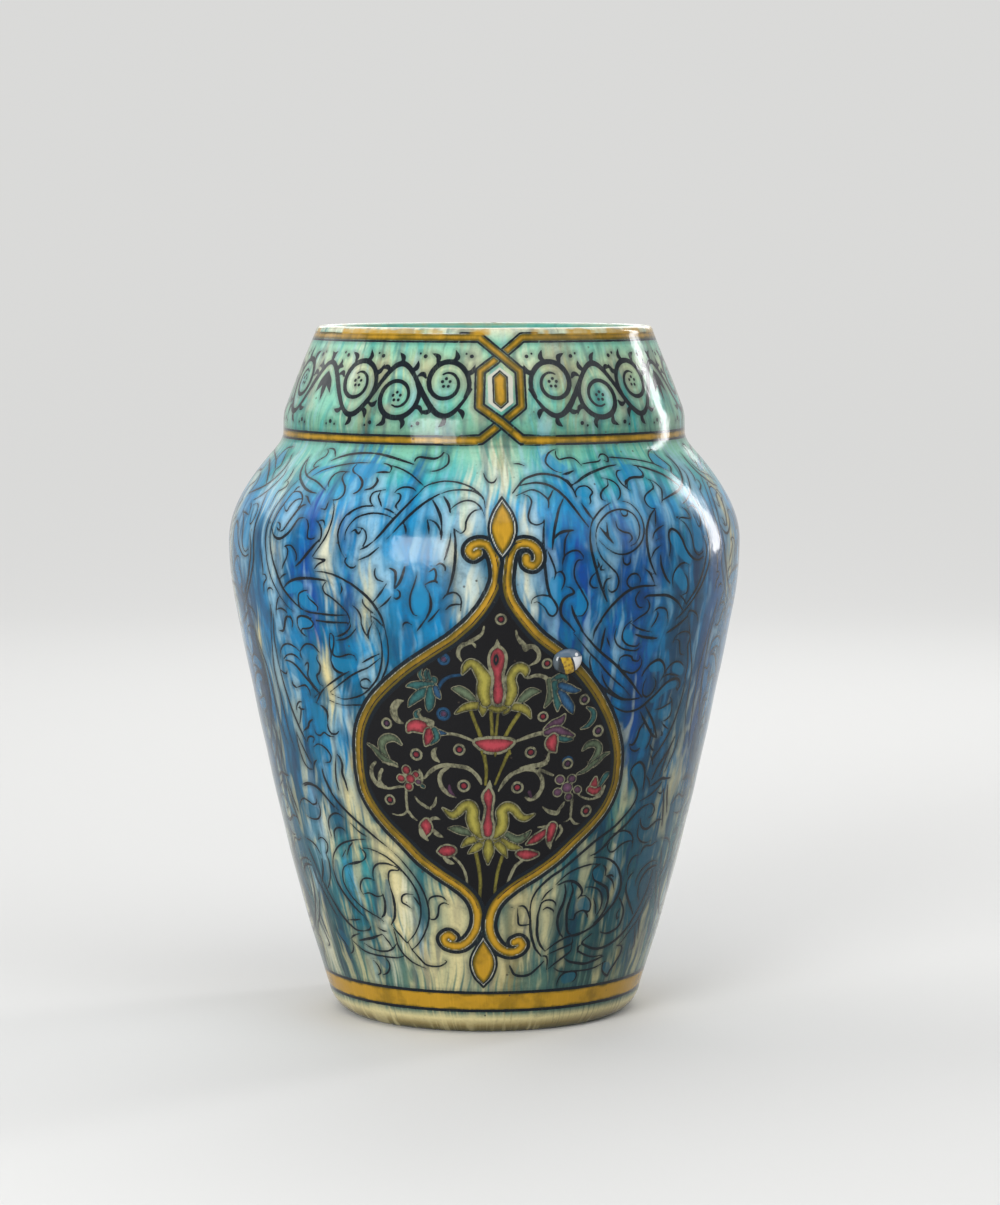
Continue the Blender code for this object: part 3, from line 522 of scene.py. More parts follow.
# flowers of the ground on six sheets: left above and below, right above and below, upper and lower middle;
# each stroke has its layer, pale rim, half widths and line, each ring its place, size and layer
flowers = [
    {"at": (-34.0, 168.0, 0.0390, 0.0625), "strokes": [
        "pale 0 .3,.5,.7,.6 875,115 865,155 835,185 790,208",
        "pale 0 .6,.8,.8,.7,.3 805,212 760,225 735,250 728,290 748,326", "pale 0 .2,.5,.2 800,210 820,225 826,242",
        "blue 0 .4,.6,.6,.7,.7,.4 760,408 720,412 680,420 645,440 620,470 608,512",
        "pale 0 .6,.55,.55,.4 640,770 700,775 750,790 805,812", "teal .3 1.5,1.5 580,445 552,462",
        "teal .35 1.4,1.6,1.0,.2 570,480 500,480 450,478 418,487",
        "teal .35 1.2,1.7,1.3,.2 560,500 500,530 450,570 420,610",
        "teal .35 1.1,1.8,1.5,.3 560,500 555,560 550,600 542,632", "blue .3 .9,1.1,.2 590,490 602,530 616,556",
        "teal .25 .5,.6,.2 510,438 500,410 514,380", "teal .25 .5,.6,.2 540,434 534,405 544,378",
        "teal .25 .5,.6,.2 562,440 553,410 556,386",
        "pale 0 .2,1.3,1.5,1.4,1.0,.3 392,575 350,590 325,625 325,665 345,700 378,716",
        "sage .45 .2,.9,1.4,1.5,1.3,1.0,.5 355,845 320,815 280,808 240,824 222,860 235,910 265,950",
        "sage .4 .2,.7,1.0,1.0,.3 125,855 165,880 205,925 260,960 310,972",
        "pale 0 .3,.9,1.0,.4 580,860 560,885 565,920 592,946",
        "teal .3 .8,.9,.8,.7,.5,.2 545,700 510,690 475,680 460,660 466,642 490,626",
        "pale 0 .7,.7,.5 540,698 562,702 564,722", "blue .35 .7,1.0,.4 562,746 600,764 640,770"], "rings": [
        "968,72 2.2 red", "645,315 2.4 blue", "632,650 2.7 blue", "270,720 2.2 rose", "448,905 2.4 red",
        "722,868 2.3 red"]},
    {"at": (-34.0, 108.0, 0.0422, 0.0625), "strokes": [
        "pale 0 .6,.8,.9,.9,.8,.4 150,8 122,40 117,90 135,130 165,153 205,156",
        "pale 0 .6,.7,.7,.4 190,50 172,80 166,120 186,146", "pale 0 .3,.45,.45,.3 150,160 220,166 290,152 322,150",
        "pale 0 .3,.5,.4 200,4 260,15 292,26",
        "pale 0 .4,.7,.8,.8,.8,.8,.7,.7,.3 455,90 490,50 540,16 590,6 650,10 710,22 750,50 780,90 792,122",
        "pale 0 .5,.8,.8,.8,.7,.2 600,20 560,50 545,95 560,150 600,188 640,206",
        "rose 0 .4,.8,.2 602,130 606,168 634,198", "pale 0 .5,.5,.5 335,160 330,230 332,300",
        "pale 0 .5,.4,.3,.2 335,300 300,325 260,330 225,322", "pale 0 .5,.5,.3 335,300 360,335 388,357",
        "pale 0 .2,.5,.6,.3 385,205 410,240 450,268 482,284", "pale 0 .4,.6,.2 480,276 508,250 520,206",
        "pale 0 .5,.5,.5,.5,.4 610,580 650,620 680,670 692,720 695,762", "red .55 1.4,1.4 345,42 346,48",
        "red .5 1.3,1.3 306,98 309,99", "red .45 1.1,1.1 402,70 404,72", "red .5 1.4,1.4 352,146 353,148",
        "rose .45 1.0,1.0 414,116 416,117", "red .4 1.6,1.6 366,97 369,99", "pale 0 .4,.6,.3 425,40 436,70 440,110",
        "teal .3 .6,.5 438,140 446,144"], "rings": [
        "688,133 2.5 red", "222,237 2.2 red"]},
    {"at": (0.0, 168.0, 0.0390, 0.0625), "strokes": [
        "pale 0 .3,.6,.9,.8 180,140 190,180 215,215 242,240",
        "pale 0 .9,.9,.8,.7,.3 240,240 285,242 315,280 310,325 266,354", "pale 0 .4,.5,.2 215,218 235,262 262,250",
        "pale 0 .8,.8,.7,.5 400,770 330,776 260,796 205,816", "pale 0 .5,.7,.8,.7 255,430 310,416 360,430 392,462",
        "sage .35 1.1,1.3,1.0,.2 386,452 400,510 390,570 366,612", "teal .3 1.6,1.6 422,450 460,480",
        "teal .3 1.0,1.1,.6 432,432 470,422 490,446", "teal .35 1.3,1.7,1.3,.2 420,470 440,540 446,590 448,638",
        "blue .35 1.2,1.8,1.5,.2 460,520 500,580 530,620 548,658",
        "blue .35 1.3,1.5,1.0,.2 460,482 510,502 550,516 584,518",
        "teal .35 .2,.9,1.0,.8,.2 640,625 680,650 690,690 660,734 612,755",
        "sage .4 .2,1.1,1.3,1.3,1.4,.9 635,890 670,858 720,852 750,882 740,930 702,980",
        "sage .35 .2,.7,.9,.7 840,915 792,930 752,965 722,990",
        "pale 0 .4,.8,.9,.8,.4 410,900 400,945 350,968 290,975 230,986"], "rings": [
        "367,345 2.1 red", "617,575 2.2 rose", "360,670 2.1 red", "732,775 2.4 rose", "293,888 2.3 red",
        "540,955 2.3 blue"]},
    {"at": (0.0, 108.0, 0.0422, 0.0625), "strokes": [
        "pale 0 .3,.7,.8,.8,.8,.8,.6 88,165 120,110 160,66 210,41 260,32 310,46 340,80",
        "pale 0 .7,.8,.8,.8,.7,.3 310,46 345,90 350,150 320,204 280,222 250,206", "rose 0 .7,.5 274,176 286,206",
        "pale 0 .5,.6,.4 330,36 380,60 415,76", "pale 0 .4,.4 330,22 372,0",
        "sage .35 .2,.7,.9,.8 570,76 620,56 660,22 690,0", "rose .5 1.5,1.5 458,105 461,106",
        "rose .5 1.4,1.4 534,104 537,105", "rose .5 1.4,1.4 449,184 452,185", "rose .5 1.3,1.3 524,214 526,216",
        "rose .5 1.3,1.3 578,174 581,176", "rose .4 1.9,1.9 508,157 511,159",
        "red .55 .5,1.6,.9 695,112 690,160 700,188", "red .5 1.1,1.3,.9 662,180 700,194 730,180",
        "teal .35 .7,1.1,.5 736,150 764,102 780,86", "pale 0 .5,.6,.4 766,166 746,214 702,234",
        "pale 0 .3,.4,.4,.3 580,200 620,226 680,240 742,230", "pale 0 .2,.8,.9,.4 360,270 400,300 450,314 472,300",
        "pale 0 .4,.6,.2 456,304 486,270 500,246", "pale 0 .6,.5,.5 550,240 548,310 550,350",
        "pale 0 .3,.3,.2 550,346 530,365 506,372", "pale 0 .4,.5,.2 550,350 580,384 616,390",
        "pale 0 .5,.6,.6,.4 250,605 206,640 176,700 156,750"], "rings": [
        "200,145 2.4 red", "500,8 2.2 rose", "652,312 2.4 red"]},
    {"at": (-20.63, 163.3, 0.0272, 0.0451), "strokes": [
        "olive 0 .7,.7,.75 650,770 690,880 735,990", "olive 0 .7,.65,.7 822,770 828,880 836,990",
        "olive 0 .5,.5,.5 884,770 874,880 866,990", "olive 0 .8,.75,.7 1060,800 1000,890 945,990",
        "red 1.0 .9,2.3,2.7,2.3,.9 705,1036 780,1056 850,1062 920,1056 998,1036",
        "pale 0 .4,.45,.45,.4 672,1022 770,1000 930,1000 1030,1022", "olive 0 .6,.2 742,1116 752,1156",
        "olive 0 .6,.2 862,1132 862,1160", "olive 0 .6,.2 984,1108 1000,1142",
        "sage .35 .8,1.6,1.5,.2 690,690 620,630 560,592 498,580",
        "olive .35 1.2,1.5,1.2,.2 770,722 660,725 590,745 518,790",
        "sage .35 .8,1.5,1.5,.2 1060,700 1108,650 1160,612 1236,608",
        "olive .35 1.2,1.6,1.3,.2 990,730 1080,745 1130,775 1166,834", "olive .3 1.6,1.5,.3 760,700 754,750 750,806",
        "olive .3 1.6,1.4,.3 965,706 954,756 930,796", "olive .3 1.2,1.6,1.2 800,720 880,748 960,720",
        "olive .45 1.9,2.6,2.6,2.1,1.7,1.4,1.2,.3 778,690 762,610 768,510 728,432 694,384 650,362 612,400 586,452",
        "olive .45 1.8,2.0,1.7,1.7,1.8,1.6,.3 968,690 1000,600 985,505 1010,434 1054,404 1100,424 1108,478",
        "pale 0 .2,1.2,.8 868,164 872,226 872,262",
        "red 1.15 .2,2.4,2.5,1.6,1.4,1.9,1.6 874,236 874,300 872,366 875,440 878,520 880,610 880,676",
        "dark 0 .2,.9,.9,.2 864,290 862,318 860,350 858,380", "red 0 .1,.35,.1 863,312 861,334 860,356",
        "pale 0 .2,.7,.8,.3 196,772 214,830 250,858 300,868",
        "red .6 .5,1.9,2.4,1.8,1.2 92,950 130,908 196,906 256,930 290,968",
        "red .6 1.6,1.7,.2 284,956 272,1012 246,1066", "teal .3 .9,1.0,.2 330,930 350,1000 290,1060",
        "pale 0 .2,1.0,.2 262,862 284,880 302,906", "rose .5 1.0,1.7,1.2,.2 1310,936 1376,898 1440,862 1470,816",
        "rose .5 1.0,1.5,1.2,.4 1310,964 1400,944 1480,964 1566,996",
        "teal .3 .9,1.0,.3 1420,1010 1490,1026 1560,1030",
        "red .65 1.2,2.2,1.5,.2 1382,1002 1364,1050 1374,1090 1406,1126"], "rings": []},
    {"at": (-23.4, 117.5, 0.03084, 0.0463), "strokes": [
        "olive 0 .75,.65,.5 764,134 780,250 774,372", "olive 0 .7,.55,.4 950,116 900,240 850,372",
        "olive 0 .75,.75,.7,.6 690,950 715,1080 728,1200 720,1344",
        "olive 0 .7,.6,.6,.5 920,986 886,1100 866,1220 858,1314",
        "sage .35 1.0,1.5,1.2,.3 650,786 570,764 520,752 462,746",
        "olive .35 1.0,1.5,1.2,.2 730,820 650,842 610,862 566,900", "olive .35 1.0,1.4,.2 756,860 692,908 626,954",
        "sage .35 1.0,1.5,1.1,.2 950,790 1040,842 1110,818 1160,772",
        "olive .35 1.2,1.5,1.2,.2 890,836 970,886 1030,906 1090,914", "olive .35 1.2,1.5,.2 866,866 918,918 962,990",
        "olive .3 1.4,1.8,1.4 726,816 800,838 874,816", "olive .4 1.5,2.0,1.4,.2 800,866 800,930 798,980 795,1046",
        "olive .45 1.6,2.2,2.3,2.2,2.0,1.7,1.5,1.3,.2 738,796 690,740 664,662 668,594 640,548 590,560 540,610 492,632"
        " 420,578",
        "olive .45 1.6,2.2,2.1,2.1,1.8,1.6,1.4,1.1,.2 858,796 906,740 918,662 910,604 952,562 1010,582 1060,640"
        " 1112,660 1186,630", "pale 0 .2,1.1,.9 808,340 804,392 802,420",
        "red .95 .2,1.7,1.0,1.0,1.8,1.5 800,410 795,474 802,556 796,640 794,724 794,784",
        "red .7 .9,2.2,.5 272,690 262,746 258,804", "pale 0 .5,1.1,.2 208,744 228,806 276,860",
        "pale 0 .8,.9,.2 326,768 362,800 408,822", "pale 0 .5,.7,.2 296,680 346,662 392,672",
        "red .7 .3,2.1,1.6 360,946 426,940 476,934", "pale 0 .3,.9,.3 400,996 446,1030 492,1046",
        "red .6 .2,1.5,1.1 1136,882 1210,840 1290,786", "red .6 1.6,1.5,1.0,.3 1352,740 1342,800 1334,850 1340,900",
        "pale 0 .8,.3 1340,886 1348,930", "pale 0 .3,.5,.3 1226,742 1280,738 1320,728",
        "pale 0 .5,.6,.2 1420,736 1438,784 1392,862", "red .7 1.1,1.9,.6 1072,962 1140,974 1228,972"], "rings": []},
]
fillNames = ("olive", "teal", "blue", "sage", "red", "rose")


def petal(name, points, half, rim):
    # painted petal with a pale rim and a thin line between
    field = strokeField(points, half)
    cut(field - rim, "ink", "pale", *[layer for layer in fillNames if layer != name])
    if name == "dark":
        lay("ink", field)
        return
    if rim:
        cut(field - rim, name)
        lay("pale", field - rim)
        lay("ink", np.abs(field) - 0.14)
    lay(name, field)


for page in flowers:
    for text in page["strokes"]:
        name, rim, half, *places = text.split()
        petal(name, sheetPoints(page["at"], places), [float(one) for one in half.split(",")], float(rim))
    for text in page["rings"]:
        place, size, name = text.split()
        size = float(size)
        middle = sheetPoints(page["at"], [place, place])
        field = strokeField(middle, [0.01, 0.01])
        cut(field - size, "ink", *fillNames)
        lay("blue" if name == "blue" else "pale", field - size)
        cut(field - 0.62 * size, "pale")
        lay("ink", np.abs(field - 0.54 * size) - 0.09 * size)
        lay("rose" if name == "blue" else name, field - 0.42 * size)
print("stage: medallion drawn")

# border strap over the ground, with its outline, pale edge and inner line
for one in borderFields:
    cut(one - strap["outline"], "pale", "gold", "ink", *fillNames)
    lay("ink", one - strap["outline"])
    cut(one, "ink")
    lay("gold", one)
lay("white", np.where(inside, far, np.abs(borderField + 0.22) - 0.22) + 0.12)


def offsetLine(points, distance):
    # a line beside another, at a distance in millimetres
    points = np.array(points, float)
    scale = outerRadius(points[:, 1]) * degree
    along = np.gradient(points, axis=0) * np.column_stack([scale, np.ones(len(points))])
    along /= np.hypot(*along.T)[:, None]
    return points + distance * np.column_stack([along[:, 1] / scale, -along[:, 0]])


for turn, one in zip((-1, 1), border):
    lay("ink", strokeField(offsetLine(one[6:36], strap["inset"] * turn), strap["line"]))


def nested(field, rim, line, name):
    # outline, pale rim, thin line and coloured core
    pale = field + 0.9
    core = pale + rim
    cut(field, "ink", "azure", "pale", "gold", "ground", "white")
    lay("ink", field)
    cut(pale, "ink")
    lay("white", pale)
    lay("ink", np.abs(core) - line)
    lay(name, core)
    cut(core, "white")


nested(strokeField([(4.2, 208.6), (4.2, 205), (4.2, 201), (4.15, 197), (4.1, 193), (4.0, 189), (4.0, 186)],
                   (0.2, 2.4, 4.6, 5.7, 4.6, 2.4, 0.4)), 0.6, 0.2, "gold")
nested(strokeField([(-0.2, 42.5), (-0.2, 39), (-0.2, 34), (-0.2, 29.4), (-0.2, 25.2), (-0.2, 21.6), (-0.2, 19)],
                   (0.3, 1.2, 3.8, 5.5, 4.4, 2.0, 0.3)), 0.5, 0.2, "gold")


def awayFrom(angle):
    # degrees from each column to an angle, within one repeat of the pattern
    half = grid["sector"] / 2
    return np.abs((columnAngle[None, :] - angle + half) % grid["sector"] - half)


def rowBand(low, high):
    # signed distance to a band round the vase between two heights
    middle = (runAt(low) + runAt(high)) / 2
    half = (runAt(high) - runAt(low)) / 2
    one = np.abs(rowRun - middle) - half
    one[crest + 12:] = far
    return np.repeat(np.minimum(one, far)[:, None], grid["columns"], 1)


# gold bands round the neck and foot: lower and upper height
bands = {"foot": (9.5, 17.0), "ledge": (226.8, 229.9), "rim": (265.2, 267.8)}


def band(name, half):
    area = rowBand(*bands[name])
    cut(area - half, "ink", "azure", "pale", "gold", "ground")
    lay("gold", area)
    lay("ink", np.abs(area) - half)


band("foot", 0.62)
band("ledge", 0.42)
lay("gold", rowBand(*bands["rim"]))
lay("ink", rowBand(bands["rim"][0] - 0.8, bands["rim"][0]))

# vine on the neck: first hollow, half wave, number of them, middle height, swing and radius of the wall there
vine = {"first": 20.5, "wave": 19.0, "turns": 4, "middle": 247.0, "swing": 9.6, "radius": 74.0}

# knot of two straps in front of the neck, and its inner lozenge
knot = {"middle": (4.85, 247.2), "half": 1.3, "outline": 0.85, "crossing": (5.0, 235.0), "reach": 4.6}


def knotStrap(points, near=-far):
    # strap with a dark outline, over what is drawn before, all of it or near a crossing only
    field = strokeField(points, knot["half"], curved=False)
    edge = np.maximum(field - knot["outline"], near)
    cut(edge, "ink", "gold", "pale")
    lay("ink", edge)
    middle = np.maximum(field, near - 0.8)
    cut(middle, "ink")
    lay("gold", middle)


def lozenge(halfAcross, halfUp, shoulder):
    x = awayFrom(knot["middle"][0]) * rowRadius[:, None] * degree
    y = np.abs(rowRun - runAt(knot["middle"][1]))[:, None]
    slope = math.hypot(halfUp - shoulder, halfAcross)
    slant = (x * (halfUp - shoulder) + y * halfAcross - halfAcross * halfUp) / slope
    field = np.maximum(x - halfAcross, slant)
    field[crest:] = far
    return np.minimum(field, far)


# the bands break where the straps leave them
cut(rowBand(263.4, 269.4) + np.where(awayFrom(5.4) < 5.2, 0, 9), "ink", "gold")
cut(rowBand(225.8, 230.8) + np.where(awayFrom(4.4) < 5.4, 0, 9), "ink", "gold")
rightSide = [(17, 266.5), (12.4, 266.4), (5.4, 259.8), (-1.0, 254), (-1.2, 241), knot["crossing"], (10.4, 228.7),
             (15, 228.35)]
leftSide = [(-7, 266.5), (-1.4, 266.4), (5.4, 259.8), (10.9, 254), (10.7, 241), knot["crossing"], (-0.8, 228.7),
            (-6, 228.35)]
knotStrap(rightSide)
knotStrap(leftSide)
crossAngle, crossHeight = knot["crossing"]
knotStrap(rightSide, strokeField([knot["crossing"], (crossAngle + 0.02, crossHeight)], knot["reach"]))
# and run into them again: band, first and last angle
for name, start, stop in (("rim", 12.6, 22), ("rim", -12, -1.8), ("ledge", 11, 20), ("ledge", -11, -1.6)):
    reach = awayFrom((start + stop) / 2) - (stop - start) / 2
    area = np.maximum(rowBand(*bands[name]), reach * vine["radius"] * degree)
    cut(area, "ink")
    lay("gold", area)
whiteRing = lozenge(4.7, 8.9, 5.2)
core = lozenge(2.3, 6.9, 4.8)
cut(whiteRing - 0.2, "ink")
lay("white", whiteRing)
lay("ink", np.abs(core - 0.35) - 0.35)
cut(core, "white")
lay("gold", core)
print("stage: bands and knot drawn")


def vineStroke(points, half):
    # dark brush stroke of the running vine, mirrored either side of the knot
    for side in (1, -1):
        place = [(knot["middle"][0] + side * x / (vine["radius"] * degree), vine["middle"] + y) for x, y in points]
        lay("ink", strokeField(place, half))


def vineLevel(x):
    return -vine["swing"] * math.cos(math.pi * (x - vine["first"]) / vine["wave"])


def vineLeaf(x, y, aim, size, half, bend=30):
    # pointed leaf with a bent tip
    a = math.radians(aim)
    b = math.radians(aim + bend)
    vineStroke([(x, y), (x + 0.5 * size * math.cos(a), y + 0.5 * size * math.sin(a)),
                (x + size * math.cos(b), y + size * math.sin(b))], [0.35, half, 0.1])


def vineDot(x, y, half):
    vineStroke([(x, y), (x + 0.02, y)], half)


vineStroke([(x, vineLevel(x)) for x in np.linspace(10.8, 77.5, 46)],
           [0.4, 1.0, 1.2, 0.9, 1.2, 0.9, 1.2, 0.9, 1.2, 1.0])
for k in range(vine["turns"]):
    up = -1 if k % 2 else 1
    x = vine["first"] + vine["wave"] * k
    if k < vine["turns"] - 1:
        # spiral shoot in the hollow of the wave, round a small flower
        spiral = []
        for step in range(21):
            aim = math.radians(215 - 25.5 * step)
            size = 9.2 - 0.29 * step
            spiral.append((x + size * math.cos(aim), up * (2.6 + size * math.sin(aim))))
        vineStroke(spiral, [0.8, 1.05, 1.1, 0.9, 0.75, 0.6, 0.35])
        for dot in range(5):
            aim = dot * 2 * math.pi / 5 + 0.3
            vineDot(x + 1.55 * math.cos(aim), up * 2.6 + 1.55 * math.sin(aim), 0.66)
        for aim, size in ((150, 4.6), (105, 4.2), (60, 4.6), (12, 4.0)):
            a = math.radians(aim)
            vineLeaf(x + 8.4 * math.cos(a), up * (2.6 + 8.4 * math.sin(a)), up * (aim + 35), size, 1.0, -40 * up)
    else:
        # palmette where two repeats meet
        for aim, size in ((90, 11.0), (58, 9.4), (122, 9.4)):
            vineLeaf(x, up * -6.0, up * aim, size, 1.5, 0)
    for dx, aim in ((-4.6, 215), (0, 270), (4.6, 325)):
        vineLeaf(x + dx, up * abs(vineLevel(x + dx)) * -1, up * aim, 4.6, 1.0, 25 * up)
    for dx in (-9.5, 9.5):
        vineDot(x + dx, up * 12.4, 0.8)
        vineDot(x + dx + 2.2, up * 13.4, 0.5)
print("stage: neck vine drawn")

# glaze colours
paint = {
    "cobalt": (0.001, 0.068, 0.300), "azure": (0.002, 0.238, 0.480), "sky": (0.060, 0.330, 0.580),
    "ice": (0.300, 0.450, 0.570), "mint": (0.220, 0.490, 0.400), "turquoise": (0.006, 0.300, 0.310),
    "sea": (0.006, 0.070, 0.105), "cream": (0.600, 0.530, 0.320), "ivory": (0.640, 0.620, 0.500),
    "sand": (0.290, 0.235, 0.115), "slate": (0.006, 0.036, 0.046), "navy": (0.002, 0.024, 0.085),
    "lake": (0.003, 0.152, 0.290), "teal": (0.003, 0.088, 0.150), "reed": (0.105, 0.190, 0.165),
    "moss": (0.085, 0.088, 0.040), "sage": (0.165, 0.300, 0.225), "aqua": (0.060, 0.370, 0.420),
    "lagoon": (0.030, 0.150, 0.180), "ocean": (0.003, 0.098, 0.180), "deep": (0.002, 0.024, 0.036),
    "oat": (0.480, 0.550, 0.380),
}
# wash at each height
levels = [(0, "moss"), (3, "sand"), (6, "cream"), (9, "reed"), (22, "reed"), (42, "lagoon"), (72, "lagoon"),
          (94, "ocean"), (125, "ocean"), (160, "lake"), (192, "lake"), (204, "sky"), (213, "aqua"), (222, "mint"),
          (229, "sage"), (242, "mint"), (255, "oat"), (264, "mint"), (270, "ivory")]
columns = 3 * grid["columns"]
girthAngle = grid["sectorStart"] + np.arange(columns) * 360.0 / columns
rng = np.random.default_rng(7)


def colourOf(name):
    return np.array(paint[name])


levelHeights = [one[0] for one in levels]
levelColours = np.array([paint[one[1]] for one in levels])
base = np.stack([np.interp(rowHeight, levelHeights, levelColours[:, k]) for k in range(3)], 1)
wash = np.repeat(base[:, None, :], columns, 1)
